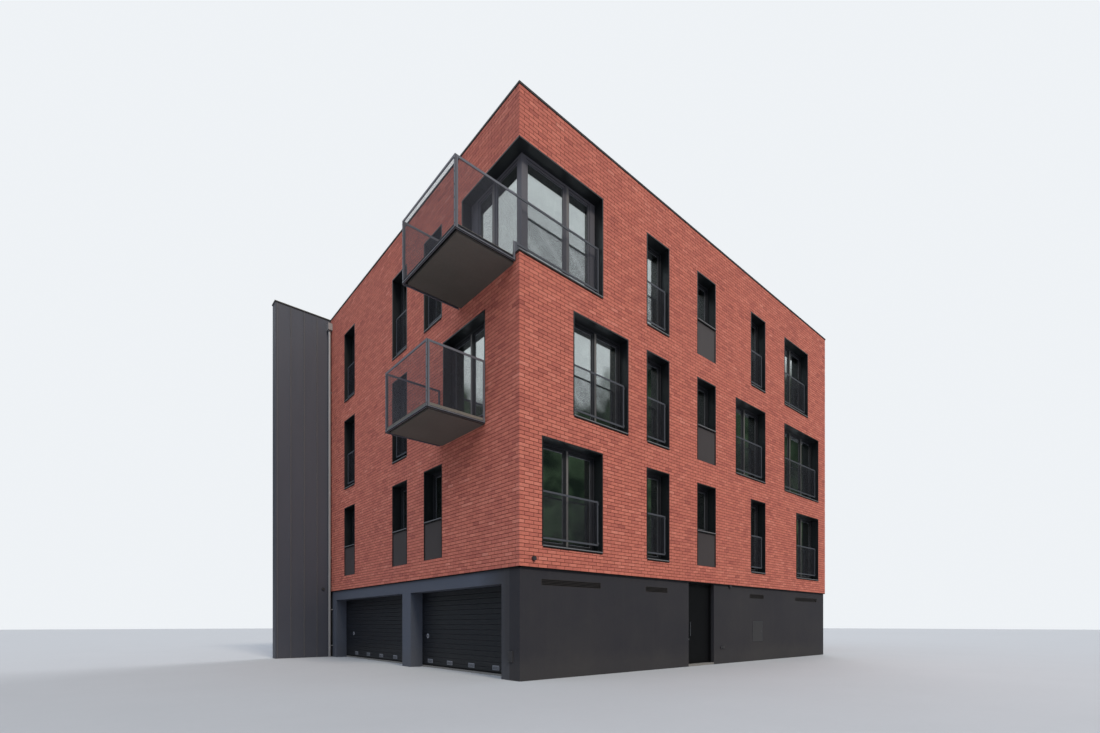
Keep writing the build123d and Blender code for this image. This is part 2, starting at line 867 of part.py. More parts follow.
# Guard of the corner window: its rails carry on those of the upper balcony, with no post between
with BuildPart() as corner_guard:
    guard_end = corner_front - lining
    guard_top = upper_floor + railing_height
    open_start = [(-sill_nose, corner_guard_foot + railing_post, railing_post, guard_top - railing_post)]
    bar_frame(front, -sill_nose, guard_end, corner_guard_foot, guard_top, upper_start, open_start)
    feet = []
    for x in (-sill_nose, guard_end - railing_post):
        feet.append((x, corner_foot, x + railing_post, corner_guard_foot))
    rectangles(front, feet, upper_start, upper_start + railing_thickness)
corner_guard.part.label = "corner_guard"
export_step(corner_guard.part, "parts/corner_guard.step")

# Coping in five lengths with open joints: four round the parapet, one on the fin wall
with BuildPart() as coping:
    reach = wall + coping_overhang
    long_side = length + 2 * coping_overhang
    short_side = depth - 2 * reach - 2 * coping_gap
    across = wall + 2 * coping_overhang
    middle = wall / 2
    with BuildSketch(Plane.XY.offset(parapet_top)):
        with Locations((0, front_face + middle), (0, back_face - middle)):
            Rectangle(long_side, across)
        with Locations((left_face + middle, 0), (right_face - middle, 0)):
            Rectangle(across, short_side)
    extrude(amount=coping_height)
    fin_cap_end = -coping_overhang - coping_gap
    cap = [(-fin_projection - coping_overhang, parapet_top, fin_cap_end, total_height)]
    rectangles(front, cap, fin_start - coping_overhang, depth + coping_overhang)
coping.part.label = "coping"
export_step(coping.part, "parts/coping.step")

# Fin wall: a masonry core in a standing-seam metal skin
with BuildPart() as fin_wall:
    core = [(cladding - fin_projection, 0, 0, parapet_top)]
    rectangles(front, core, fin_start + cladding, depth - cladding)
fin_wall.part.label = "fin_wall"
export_step(fin_wall.part, "parts/fin_wall.step")

with BuildPart() as fin_cladding:
    rectangles(front, [(-fin_projection, 0, 0, parapet_top)], fin_start, depth)
    rectangles(front, core, fin_start + cladding, depth - cladding, mode=Mode.SUBTRACT)
    seams = 1 + int((fin_projection - seam_first - seam_width) / seam_pitch)
    seam_boxes = []
    for n in range(seams):
        x = -seam_first - n * seam_pitch
        seam_boxes.append((x - seam_width / 2, 0, x + seam_width / 2, parapet_top))
    rectangles(front, seam_boxes, fin_start - seam_height, fin_start)
    rectangles(front, seam_boxes, depth, depth + seam_height)
fin_cladding.part.label = "fin_cladding"
export_step(fin_cladding.part, "parts/fin_cladding.step")

# Downpipe in the corner of the fin wall, under its hopper
pipe_y = fin_start - pipe_from_fin
hopper_top = parapet_top - hopper_below_parapet
hopper_bottom = hopper_top - hopper_height
with BuildPart() as downpipe:
    with BuildSketch():
        with Locations((left_face - pipe_offset, front_face + pipe_y)):
            Circle(pipe_diameter / 2)
    extrude(amount=hopper_bottom)
downpipe.part.label = "downpipe"
export_step(downpipe.part, "parts/downpipe.step")

# Hopper head and the brackets that hold the pipe off the wall
with BuildPart() as pipe_fittings:
    hopper_start = pipe_y - hopper_width / 2
    hopper_end = pipe_y + pipe_from_fin - coping_gap
    rectangles(left, [(hopper_start, hopper_bottom, hopper_end, hopper_top)], -hopper_depth, 0)
    pipe_side = pipe_diameter / 2
    for height in bracket_heights:
        seat = plinth_setback if height < brick_bottom else 0
        arm = [(pipe_y - bracket_height / 2, height, pipe_y + bracket_height / 2, height + bracket_height)]
        rectangles(left, arm, pipe_side - pipe_offset, seat)
        ring_plane = Plane(origin=(left_face - pipe_offset, front_face + pipe_y, height))
        with BuildSketch(ring_plane):
            Circle(pipe_side + bracket_ring)
            Circle(pipe_side, mode=Mode.SUBTRACT)
        extrude(amount=bracket_height)
pipe_fittings.part.label = "pipe_fittings"
export_step(pipe_fittings.part, "parts/pipe_fittings.step")


# Louvred vents in the plinth, one below each column of windows
def louvre_slots(box):
    """The slots of a vent grille."""
    x0, z0, x1, z1 = box
    gap = (z1 - z0) / (2 * vent_slats + 1)
    slots = []
    for n in range(vent_slats):
        low = z0 + (2 * n + 1) * gap
        slots.append((x0 + gap, low, x1 - gap, low + gap))
    return slots


with BuildPart() as plinth_vents:
    slots = [slot for vent in vents for slot in louvre_slots(vent)]
    rectangles(front, vents, plinth_setback, plinth_setback + vent_depth / 2, slots)
plinth_vents.part.label = "plinth_vents"
export_step(plinth_vents.part, "parts/plinth_vents.step")

# Meter hatch in the front plinth, and two small boxes on it
with BuildPart() as meter_hatch:
    rectangles(front, hatch_hole, plinth_setback - hatch_thickness / 2, plinth_setback + hatch_thickness)
meter_hatch.part.label = "meter_hatch"
export_step(meter_hatch.part, "parts/meter_hatch.step")

with BuildPart() as service_boxes:
    rectangles(front, [front_box], plinth_setback - box_depth, plinth_setback)
    rectangles(left, [side_box], plinth_setback - box_depth, plinth_setback)
service_boxes.part.label = "service_boxes"
export_step(service_boxes.part, "parts/service_boxes.step")

# Wall lamps: one on the brick by the corner, one by the door, one on the fin wall
with BuildPart() as wall_lamps:
    lamp_places = (
        (lamp_corner_x, brick_bottom + lamp_corner_rise, 0),
        (entrance_end + lamp_after_entrance, brick_bottom - lamp_below_brick, plinth_setback),
        (-lamp_on_fin, brick_bottom + lamp_fin_rise, fin_start),
    )
    for x, z, seat in lamp_places:
        with BuildSketch(front[0].offset(-seat)):
            with Locations((x, z)):
                Circle(lamp_radius)
        extrude(amount=lamp_depth)
wall_lamps.part.label = "wall_lamps"
export_step(wall_lamps.part, "parts/wall_lamps.step")
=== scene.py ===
# %% [markdown]
# # The apartment block, dressed
# A corner apartment block of red brick over a dark rendered ground storey. The walls, floors,
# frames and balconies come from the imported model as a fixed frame. This lesson gives each of them
# a finish and adds what is too fine for that model: the bricks, the wire mesh and the trims.

# %% Load the frame
import bpy
import math
import random
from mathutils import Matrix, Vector


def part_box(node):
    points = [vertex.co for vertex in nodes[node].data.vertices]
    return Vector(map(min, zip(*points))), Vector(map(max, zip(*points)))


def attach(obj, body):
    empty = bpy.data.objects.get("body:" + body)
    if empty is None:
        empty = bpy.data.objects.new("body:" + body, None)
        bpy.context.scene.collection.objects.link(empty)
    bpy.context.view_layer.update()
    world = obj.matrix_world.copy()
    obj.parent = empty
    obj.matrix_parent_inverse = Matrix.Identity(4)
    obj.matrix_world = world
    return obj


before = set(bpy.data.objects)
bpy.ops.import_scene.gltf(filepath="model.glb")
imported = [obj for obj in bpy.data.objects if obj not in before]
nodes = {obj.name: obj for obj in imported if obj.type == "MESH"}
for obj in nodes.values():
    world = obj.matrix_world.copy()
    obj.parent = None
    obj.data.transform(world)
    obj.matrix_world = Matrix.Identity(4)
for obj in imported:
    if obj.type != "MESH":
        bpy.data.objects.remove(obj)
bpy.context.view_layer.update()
scene = bpy.context.scene

# %% [markdown]
# ## The camera
# The photograph was taken from 1.2 m up, near the corner, with a wide lens kept level and shifted
# upwards, so that upright lines stay upright. This camera does the same, and its place was solved
# from the corners of the walls and openings.

# %% Camera
lens = bpy.data.cameras.new("camera")
lens.sensor_width = 36
lens.lens = 17.347
lens.shift_y = 0.2343
lens.clip_end = 400
camera = bpy.data.objects.new("camera", lens)
camera.location = (-14.132, -14.442, 1.183)
camera.rotation_euler = (math.radians(90), 0, math.radians(-40.88))
scene.collection.objects.link(camera)
scene.camera = camera
print("camera", lens.lens, "mm, shifted", lens.shift_y)

# %% [markdown]
# ## Helpers for node trees
# The world and the finishes are built from the same few nodes, so short functions make, set and
# link them.


# %% Colours and node helpers
def tint(red, green, blue):
    """A screen colour, 0 to 255, as the linear values that a shader uses."""
    values = []
    for part in (red, green, blue):
        share = part / 255
        values.append(share / 12.92 if share <= 0.04045 else ((share + 0.055) / 1.055) ** 2.4)
    return (*values, 1.0)


def feed(tree, made, links):
    """Link or set the inputs of a node."""
    for socket, source in dict(links).items():
        if isinstance(source, bpy.types.NodeSocket):
            tree.links.new(source, made.inputs[socket])
        else:
            made.inputs[socket].default_value = source
    return made


def add_node(tree, kind, links=(), **values):
    """Make a node, set its properties, and link or set its inputs."""
    made = tree.nodes.new("ShaderNode" + kind)
    for label, value in values.items():
        setattr(made, label, value)
    return feed(tree, made, links)


print("node helpers ready")


# %% Small sums and mixes for node trees
def noise(tree, place, scale, detail=3.0, roughness=0.55):
    """A noise texture at a place, with its scale a number or a socket."""
    inputs = {"Vector": place, "Scale": scale, "Detail": detail, "Roughness": roughness}
    return add_node(tree, "TexNoise", inputs).outputs["Fac"]


def spread(tree, value, low, high, to_low=0.0, to_high=1.0):
    """Map a value from one range to another, kept inside it."""
    inputs = {"Value": value, "From Min": low, "From Max": high, "To Min": to_low, "To Max": to_high}
    return add_node(tree, "MapRange", inputs).outputs["Result"]


def combine(tree, how, first, second):
    """Arithmetic on two values."""
    return add_node(tree, "Math", {0: first, 1: second}, operation=how).outputs[0]


def blend_colour(tree, factor, first, second, how="MIX"):
    """Mix two colours by a factor."""
    made = add_node(tree, "Mix", data_type="RGBA", blend_type=how)
    return feed(tree, made, {0: factor, 6: first, 7: second}).outputs[2]


print("sums and mixes ready")

# %% [markdown]
# ## Light and background
# Daylight from a bright sky is soft and falls more on the entrance front than on the garage side.
# A wide sun from the front, weaker ones from the side and from behind, and a cool world that is
# brighter overhead give that. Light Path lets the camera see a plain pale tone behind the block.
# Mirrors need more than one tone, or every pane looks alike: glossy rays find the pale tone above
# and a dim uneven belt low down, so that high panes come out bright and low ones dark.

# %% World
sky_blue = (0.72, 0.84, 1.0, 1)
pale_tone = (0.86, 0.89, 0.92, 1)
dark_green = (0.014, 0.022, 0.017, 1)
leaf_green = (0.075, 0.115, 0.07, 1)
horizon_to_zenith = (0.33, 0.68)
scene.view_settings.view_transform = "Standard"
world = bpy.data.worlds.new("daylight")
scene.world = world
world.use_nodes = True
sky = world.node_tree
sky.nodes.clear()


def background(colour, strength=1.0):
    """A plain world colour."""
    return add_node(sky, "Background", {"Color": colour, "Strength": strength}).outputs[0]


def choose(factor, first, second):
    """Mix two world shaders by a factor."""
    return add_node(sky, "MixShader", {0: factor, 1: first, 2: second}).outputs[0]


direction = add_node(sky, "TexCoord").outputs["Generated"]
upwards = add_node(sky, "SeparateXYZ", {0: direction}).outputs["Z"]
ambient = background(sky_blue, spread(sky, upwards, 0.0, 1.0, *horizon_to_zenith))
pale = background(pale_tone)
print("world colours ready")

# %% What glossy rays find: the pale tone over an uneven belt
belt_top = (0.33, 0.47)
belt_edge = (-0.01, 0.02)
leaves = spread(sky, noise(sky, direction, 22.0, 5.0, 0.5), 0.38, 0.66)
belt = background(blend_colour(sky, leaves, dark_green, leaf_green))
ragged_top = spread(sky, noise(sky, direction, 5.0, 6.0, 0.5), 0.3, 0.7, *belt_top)
above = combine(sky, "SUBTRACT", upwards, ragged_top)
mirrored = choose(spread(sky, above, *belt_edge), belt, pale)
path = add_node(sky, "LightPath").outputs
seen = combine(sky, "MAXIMUM", path["Is Camera Ray"], path["Is Transmission Ray"])
whole = choose(path["Is Glossy Ray"], choose(seen, ambient, pale), mirrored)
add_node(sky, "OutputWorld", {"Surface": whole})
print("world", len(sky.nodes), "nodes")


# %% Suns
def sun(name, towards, strength, width, colour):
    """A distant lamp that shines along a direction."""
    lamp = bpy.data.lights.new(name, "SUN")
    lamp.energy = strength
    lamp.angle = math.radians(width)
    lamp.color = colour
    holder = bpy.data.objects.new(name, lamp)
    holder.rotation_euler = Vector(towards).to_track_quat("-Z", "Y").to_euler()
    scene.collection.objects.link(holder)


sun("front_sun", (0.1, 1.0, -0.8), 1.72, 14, (1.0, 0.92, 0.78))
sun("side_sun", (1.0, 0.25, -1.2), 0.9, 60, (0.80, 0.89, 1.0))
sun("rear_sun", (-1.0, -0.5, -0.8), 1.1, 30, (0.96, 0.97, 1.0))
print("suns ready")

# %% [markdown]
# ## Helpers for pieces
# Most fine pieces are many small boxes or bars of one kind, such as bricks, wires and gaskets, and
# one mesh for each kind stays light and easy to find. A kit collects corners and faces, and a
# number per corner that a material can read as its tone.


# %% Collecting faces into one piece
def middle_of(low, high):
    """The middle between two corners."""
    return [(a + b) / 2 for a, b in zip(low, high)]


class Kit:
    """Corners and faces of one piece, gathered box by box."""

    def __init__(self):
        self.corners = []
        self.faces = []
        self.tones = []

    def add(self, corners, faces, tone=0.5):
        """Add a small shape with a tone of its own."""
        first = len(self.corners)
        self.corners.extend(corners)
        self.faces.extend([tuple(first + n for n in face) for face in faces])
        self.tones.extend([tone] * len(corners))

    def box(self, one, other):
        """Add a plain box between two opposite corners, given in any order."""
        x0, y0, z0 = map(min, one, other)
        x1, y1, z1 = map(max, one, other)
        outline = ((x0, y0), (x1, y0), (x1, y1), (x0, y1))
        self.add([(x, y, z) for z in (z0, z1) for x, y in outline], BOX_FACES)

    def disc(self, centre, axis, radius, thickness, sides):
        """Add a flat round button whose back is at centre and whose front is along the axis."""
        axis = Vector(axis).normalized()
        across = axis.orthogonal().normalized()
        upright = axis.cross(across)
        corners = []
        for depth, reach in ((0.0, 1.0), (0.7, 1.0), (1.0, 0.86)):
            for n in range(sides):
                turn = 2 * math.pi * n / sides
                spoke = (across * math.cos(turn) + upright * math.sin(turn)) * radius * reach
                corners.append(tuple(Vector(centre) + axis * thickness * depth + spoke))
        faces = [tuple(range(2 * sides, 3 * sides))]
        for ring in (0, sides):
            for n in range(sides):
                m = (n + 1) % sides
                faces.append((ring + n, ring + m, ring + sides + m, ring + sides + n))
        self.add(corners, faces)


BOX_FACES = [(3, 2, 1, 0), (4, 5, 6, 7), (0, 1, 5, 4), (1, 2, 6, 5), (2, 3, 7, 6), (3, 0, 4, 7)]


def make_piece(name, kit, finish, body="building"):
    """Turn a kit into a mesh object with a finish, riding on a body of the frame."""
    mesh = bpy.data.meshes.new(name)
    mesh.from_pydata(kit.corners, [], kit.faces)
    layer = mesh.attributes.new("tone", "FLOAT", "POINT")
    layer.data.foreach_set("value", kit.tones)
    mesh.materials.append(finishes[finish])
    made = bpy.data.objects.new(name, mesh)
    scene.collection.objects.link(made)
    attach(made, body)
    print(name, len(kit.faces), "faces")


finishes = {}
print("kits ready, with", len(BOX_FACES), "faces a box")


# %% Reading the solids of a node
def solids_of(name):
    """Lowest and highest corner of each separate solid in a node."""
    mesh = nodes[name].data
    parent = list(range(len(mesh.vertices)))

    def root(n):
        while parent[n] != n:
            parent[n] = parent[parent[n]]
            n = parent[n]
        return n

    places = {}
    for vertex in mesh.vertices:
        key = tuple(round(c, 5) for c in vertex.co)
        parent[root(vertex.index)] = root(places.setdefault(key, vertex.index))
    for edge in mesh.edges:
        parent[root(edge.vertices[0])] = root(edge.vertices[1])
    found = {}
    for vertex in mesh.vertices:
        found.setdefault(root(vertex.index), []).append(vertex.co)
    return sorted((tuple(map(min, *points)), tuple(map(max, *points))) for points in found.values())


print(len(solids_of("front_piers")), "solids in the front piers")

# %% [markdown]
# ## Shared effects
# Render, brick, concrete and painted metal all have a fine grain, and all gather dust and rain
# marks. Those effects are node groups with named inputs, so each finish sets how large and how
# strong they are. They give out colours, masks and heights only.

# %% Grain: fine speckle in colour and height
def new_group(name, inputs, outputs):
    """A node group with its sockets: the tree, what it is given, and the node it gives out by."""
    tree = bpy.data.node_groups.new(name, "ShaderNodeTree")
    for label, kind, value in inputs:
        socket = tree.interface.new_socket(label, in_out="INPUT", socket_type="NodeSocket" + kind)
        if value is not None:
            socket.default_value = value
    for label, kind in outputs:
        tree.interface.new_socket(label, in_out="OUTPUT", socket_type="NodeSocket" + kind)
    return tree, tree.nodes.new("NodeGroupInput").outputs, tree.nodes.new("NodeGroupOutput")


grain, given, leave = new_group(
    "grain",
    [("Place", "Vector", None), ("Size", "Float", 60.0), ("Colour", "Color", (0.5, 0.5, 0.5, 1)),
     ("Contrast", "Float", 0.2)],
    [("Colour", "Color"), ("Height", "Float"), ("Value", "Float")],
)
fine = noise(grain, given["Place"], given["Size"], 4.0, 0.7)
coarse = noise(grain, given["Place"], combine(grain, "MULTIPLY", given["Size"], 0.17), 3.0, 0.6)
fine_share = combine(grain, "MULTIPLY", fine, 0.6)
coarse_share = combine(grain, "MULTIPLY", coarse, 0.4)
both = combine(grain, "ADD", fine_share, coarse_share)
level = spread(grain, both, 0.3, 0.7)
dark_end = combine(grain, "SUBTRACT", 1.0, given["Contrast"])
light_end = combine(grain, "ADD", 1.0, given["Contrast"])
gain = spread(grain, level, 0.0, 1.0, dark_end, light_end)
grey = add_node(grain, "CombineColor", {0: gain, 1: gain, 2: gain}).outputs[0]
speckled = blend_colour(grain, 1.0, given["Colour"], grey, "MULTIPLY")
feed(grain, leave, {"Colour": speckled, "Height": both, "Value": level})
print("grain group", len(grain.nodes), "nodes")

# %% Weather: streaks that run down, and dust that gathers low
streak_shape = (5.0, 5.0, 0.28)
cloud_size = 0.45
splash_height = 0.35
weather, given, leave = new_group(
    "weather",
    [("Place", "Vector", None), ("Colour", "Color", (0.5, 0.5, 0.5, 1)),
     ("Stain", "Color", (0.1, 0.1, 0.1, 1)), ("Streaks", "Float", 0.2), ("Clouds", "Float", 0.2),
     ("Splash", "Float", 0.0)],
    [("Colour", "Color"), ("Mask", "Float")],
)
stretch = add_node(weather, "VectorMath", {0: given["Place"], 1: streak_shape}, operation="MULTIPLY")
streak = spread(weather, noise(weather, stretch.outputs[0], 1.0, 4.0, 0.6), 0.48, 0.75)
cloud = spread(weather, noise(weather, given["Place"], cloud_size, 4.0, 0.6), 0.4, 0.7)
height = add_node(weather, "SeparateXYZ", {0: given["Place"]}).outputs["Z"]
ragged = combine(weather, "MULTIPLY", noise(weather, given["Place"], 3.0, 4.0, 0.6), 0.5)
low_part = spread(weather, combine(weather, "SUBTRACT", height, ragged), 0.0, splash_height, 1.0, 0.0)
mask = combine(weather, "MULTIPLY", streak, given["Streaks"])
for part, label in ((cloud, "Clouds"), (low_part, "Splash")):
    mask = combine(weather, "ADD", mask, combine(weather, "MULTIPLY", part, given[label]))
mask = combine(weather, "MINIMUM", mask, 1.0)
stained = blend_colour(weather, mask, given["Colour"], given["Stain"])
feed(weather, leave, {"Colour": stained, "Mask": mask})
print("weather group", len(weather.nodes), "nodes")

# %% [markdown]
# ## Finishes
# Masonry is rough, with a fine relief, and painted metal is smoother. Both share one recipe:
# colour through weather and grain, roughness from the grain, and the grain's height as a bump.
# Dark matt coats send back little light, so their specular level is under the usual half.


# %% One recipe for outdoor finishes
def start_finish(name):
    """A new material by name; gives back its tree, its shader and the place on the object."""
    made = bpy.data.materials.new(name)
    made.use_nodes = True
    finishes[name] = made
    tree = made.node_tree
    place = tree.nodes.new("ShaderNodeTexCoord").outputs["Object"]
    return tree, tree.nodes["Principled BSDF"], place


def use_group(tree, group, links):
    """Place a group in a material and set its inputs."""
    made = tree.nodes.new("ShaderNodeGroup")
    made.node_tree = group
    return feed(tree, made, links)


def set_relief(tree, shader, height, distance, strength=1.0):
    """Feed a height to the shader's normal."""
    bump = add_node(tree, "Bump", {"Height": height, "Distance": distance, "Strength": strength})
    tree.links.new(bump.outputs["Normal"], shader.inputs["Normal"])


gloss_swing = 0.06


def weathered(tree, shader, place, colour, stain, marks, size, contrast, rough):
    """Colour and roughness through the two shared groups; gives back the grain node."""
    soiling = dict(zip(("Place", "Colour", "Stain", "Streaks", "Clouds", "Splash"),
                       (place, colour, stain, *marks)))
    soiled = use_group(tree, weather, soiling).outputs["Colour"]
    speckle = {"Place": place, "Size": size, "Colour": soiled, "Contrast": contrast}
    speck = use_group(tree, grain, speckle)
    gloss = spread(tree, speck.outputs["Value"], 0.0, 1.0, rough - gloss_swing, rough + gloss_swing)
    feed(tree, shader, {"Base Color": speck.outputs["Colour"], "Roughness": gloss})
    return speck


def outdoor_finish(name, colour, stain, marks, rough, grain_size, contrast, relief, shine=0.3, metal=0.0):
    """A finish that stands outdoors: screen colours, grain, stains, a rough or satin surface."""
    tree, shader, place = start_finish(name)
    colours = (tint(*colour), tint(*stain))
    speck = weathered(tree, shader, place, *colours, marks, grain_size, contrast, rough)
    feed(tree, shader, {"Metallic": metal, "Specular IOR Level": shine})
    set_relief(tree, shader, speck.outputs["Height"], relief)


print("recipes ready")

# %% Masonry and roofing finishes
# Columns: colour, stain, (streaks, clouds, splash), roughness, grain size, contrast, relief
masonry = {
    "dark_render": ((46, 45, 50), (66, 63, 62), (0.1, 0.3, 0.3), 0.9, 220, 0.14, 0.003),
    "plain_concrete": ((128, 124, 120), (98, 94, 90), (0.3, 0.4, 0), 0.85, 90, 0.1, 0.002),
    "balcony_concrete": ((98, 92, 86), (76, 74, 68), (0.05, 0.5, 0), 0.85, 120, 0.12, 0.002),
    "balcony_paving": ((150, 143, 130), (112, 106, 98), (0.2, 0.4, 0), 0.85, 150, 0.12, 0.002),
    "roof_membrane": ((92, 92, 94), (116, 114, 108), (0, 0.6, 0), 0.75, 160, 0.1, 0.0015),
    "roof_seam": ((74, 74, 77), (100, 98, 94), (0, 0.5, 0), 0.7, 160, 0.1, 0.0015),
}
for name, values in masonry.items():
    outdoor_finish(name, *values)
print(len(masonry), "masonry finishes ready")

# %% Garage side: the same render, lighter and bluer away from the near corner as a painted sky sheen
sheen_span = (-5.3, -4.2)
near_end_coat = tint(46, 45, 50)
far_sheen_coat = tint(74, 79, 92)
garage_marks = (0.1, 0.2, 0.3)
tree, shader, place = start_finish("garage_render")
along = add_node(tree, "SeparateXYZ", {0: place}).outputs["Y"]
# The lighter, bluer far part is a painted sheen of the sky, seen at a grazing angle.
coat = blend_colour(tree, spread(tree, along, *sheen_span), near_end_coat, far_sheen_coat)
speck = weathered(tree, shader, place, coat, tint(80, 80, 84), garage_marks, 220.0, 0.14, 0.8)
feed(tree, shader, {"Specular IOR Level": 0.5})
set_relief(tree, shader, speck.outputs["Height"], 0.003)
print("garage render ready")

# %% Metal and rubber finishes
# Columns: as above, then shine and metal where they aren't the usual 0.3 and 0.0
metals = {
    "frame_anthracite": ((36, 37, 41), (52, 52, 53), (0.1, 0.1, 0), 0.3, 500, 0.06, 0.0002, 0.5),
    # The corner frame is the same anthracite metal, painted lighter for the light it catches at the
    # corner.
    "corner_frame_grey": ((90, 88, 94), (98, 95, 95), (0.1, 0.1, 0), 0.45, 500, 0.06, 0.0003),
    "lining_anthracite": ((19, 23, 26), (36, 38, 39), (0.15, 0.15, 0), 0.36, 400, 0.06, 0.0003, 0.45),
    # This light grey paints highlights: on the meeting strips and on the fin crests and cap edge.
    "meeting_strip": ((112, 108, 106), (84, 82, 80), (0.15, 0.1, 0), 0.4, 500, 0.05, 0.0002),
    "sill_sheet": ((108, 107, 110), (128, 124, 120), (0.25, 0.2, 0), 0.42, 400, 0.06, 0.0003),
    "spandrel_sheet": ((64, 58, 59), (80, 76, 75), (0.15, 0.2, 0), 0.5, 350, 0.05, 0.0004),
    "railing_grey": ((98, 99, 107), (80, 80, 84), (0.15, 0.1, 0), 0.45, 500, 0.05, 0.0003),
    # Guards and their mesh are the railings' grey, painted darker for the shade of the reveals.
    "guard_grey": ((74, 76, 83), (92, 90, 90), (0.1, 0.1, 0), 0.45, 500, 0.05, 0.0003),
    "railing_wire": ((84, 84, 93), (68, 68, 72), (0, 0.1, 0), 0.45, 500, 0.05, 0.0002),
    "guard_wire": ((54, 54, 61), (44, 44, 46), (0, 0.1, 0), 0.45, 500, 0.05, 0.0002),
    "coping_sheet": ((30, 31, 34), (64, 63, 62), (0.2, 0.2, 0), 0.5, 350, 0.05, 0.0004),
    "garage_sheet": ((21, 24, 31), (44, 43, 42), (0.15, 0.15, 0.25), 0.5, 350, 0.06, 0.0004),
    "door_sheet": ((7, 8, 11), (18, 18, 19), (0.1, 0.15, 0.2), 0.5, 400, 0.05, 0.0003, 0.12),
    "pipe_sheet": ((150, 148, 149), (110, 108, 106), (0.2, 0.2, 0), 0.35, 400, 0.05, 0.0003, 0.3, 0.3),
    "small_fittings": ((50, 49, 52), (74, 72, 71), (0.1, 0.2, 0), 0.5, 400, 0.05, 0.0003),
    "vent_slats": ((38, 34, 34), (56, 52, 50), (0.1, 0.2, 0), 0.55, 400, 0.06, 0.0003),
    "vent_plate": ((132, 133, 140), (98, 97, 96), (0.1, 0.2, 0), 0.45, 400, 0.06, 0.0003),
    "handle_steel": ((120, 121, 124), (92, 91, 90), (0, 0.1, 0), 0.3, 600, 0.05, 0.0001, 0.3, 1.0),
    # This black serves real rubber, bolts and collars, and also the strips of painted shade.
    "black_gasket": ((10, 10, 11), (26, 26, 26), (0, 0.2, 0), 0.7, 500, 0.08, 0.0002, 0.15),
    "hatch_edging": ((66, 68, 72), (54, 54, 55), (0, 0.2, 0), 0.45, 500, 0.04, 0.0002),
}
for name, values in metals.items():
    outdoor_finish(name, *values)
print(len(metals), "metal and rubber finishes ready")

# %% [markdown]
# ### Brick and mortar
# The facing bricks are pressed red clay from one firing, so they differ only a little, from salmon
# to a warm red. The mortar is raked back and dark, which draws a thin shadow line along each
# course. The colour of each brick comes from the tone stored on its corners.

# %% Brick finish
tree, shader, place = start_finish("facing_brick")
tone = add_node(tree, "Attribute", attribute_name="tone").outputs["Fac"]
ramp = add_node(tree, "ValToRGB", {0: tone})
stops = [
    (0.0, tint(164, 87, 75)),
    (0.3, tint(182, 100, 85)),
    (0.6, tint(196, 111, 93)),
    (0.85, tint(203, 120, 102)),
    (1.0, tint(208, 128, 110)),
]
while len(ramp.color_ramp.elements) < len(stops):
    ramp.color_ramp.elements.new(0.5)
for element, (position, colour) in zip(ramp.color_ramp.elements, stops):
    element.position = position
    element.color = colour
brick_dust = tint(176, 102, 90)
brick_marks = (0.1, 0.12, 0.0)
speck = weathered(tree, shader, place, ramp.outputs["Color"], brick_dust, brick_marks, 70.0, 0.22, 0.88)
feed(tree, shader, {"Specular IOR Level": 0.45})
set_relief(tree, shader, speck.outputs["Height"], 0.005)

mortar_colours = ((84, 46, 38), (108, 64, 54))
outdoor_finish("raked_mortar", *mortar_colours, (0.1, 0.3, 0.0), 0.95, 260.0, 0.14, 0.002, 0.15)
print("brick and mortar ready")

# %% [markdown]
# ### Standing-seam sheet
# The fin wall at the far end wears a dark metal skin in long trays, which are never quite flat. A
# stretched noise as a bump gives their slow waves.

# %% Cladding finish
wave_shape = (3.2, 3.2, 0.7)
sheet_marks = (0.12, 0.15, 0.15)
tree, shader, place = start_finish("standing_seam_sheet")
weathered(tree, shader, place, tint(68, 70, 80), tint(80, 79, 85), sheet_marks, 300.0, 0.05, 0.5)
feed(tree, shader, {"Metallic": 0.15, "Specular IOR Level": 0.3})
long_place = add_node(tree, "VectorMath", {0: place, 1: wave_shape}, operation="MULTIPLY")
waves = noise(tree, long_place.outputs[0], 1.0, 1.0, 0.4)
set_relief(tree, shader, waves, 0.012, 0.4)
print("cladding ready")

# %% [markdown]
# ### Window glass
# Each pane is a sealed unit with a thin metal coating. From outside it mirrors the sky and lets
# only a dim view of the room through. A part of Metallic stands for the coating, and Transmission
# for the clear rest. The faces stay smooth, because a rough pane would look frosted.

# %% Glass finish
coating = 0.52
tree, shader, place = start_finish("window_glass")
feed(tree, shader, {"Metallic": coating, "Transmission Weight": 1.0, "IOR": 1.5})
dust = spread(tree, noise(tree, place, 3.0, 4.0, 0.6), 0.3, 0.8)
body = blend_colour(tree, dust, tint(226, 233, 231), tint(214, 220, 219))
feed(tree, shader, {"Base Color": body, "Roughness": spread(tree, dust, 0.0, 1.0, 0.0, 0.015)})
print("glass ready")

# %% [markdown]
# ## Give the solids their finishes
# The solids keep their shapes and places. Each node gets the finish of the real surface.

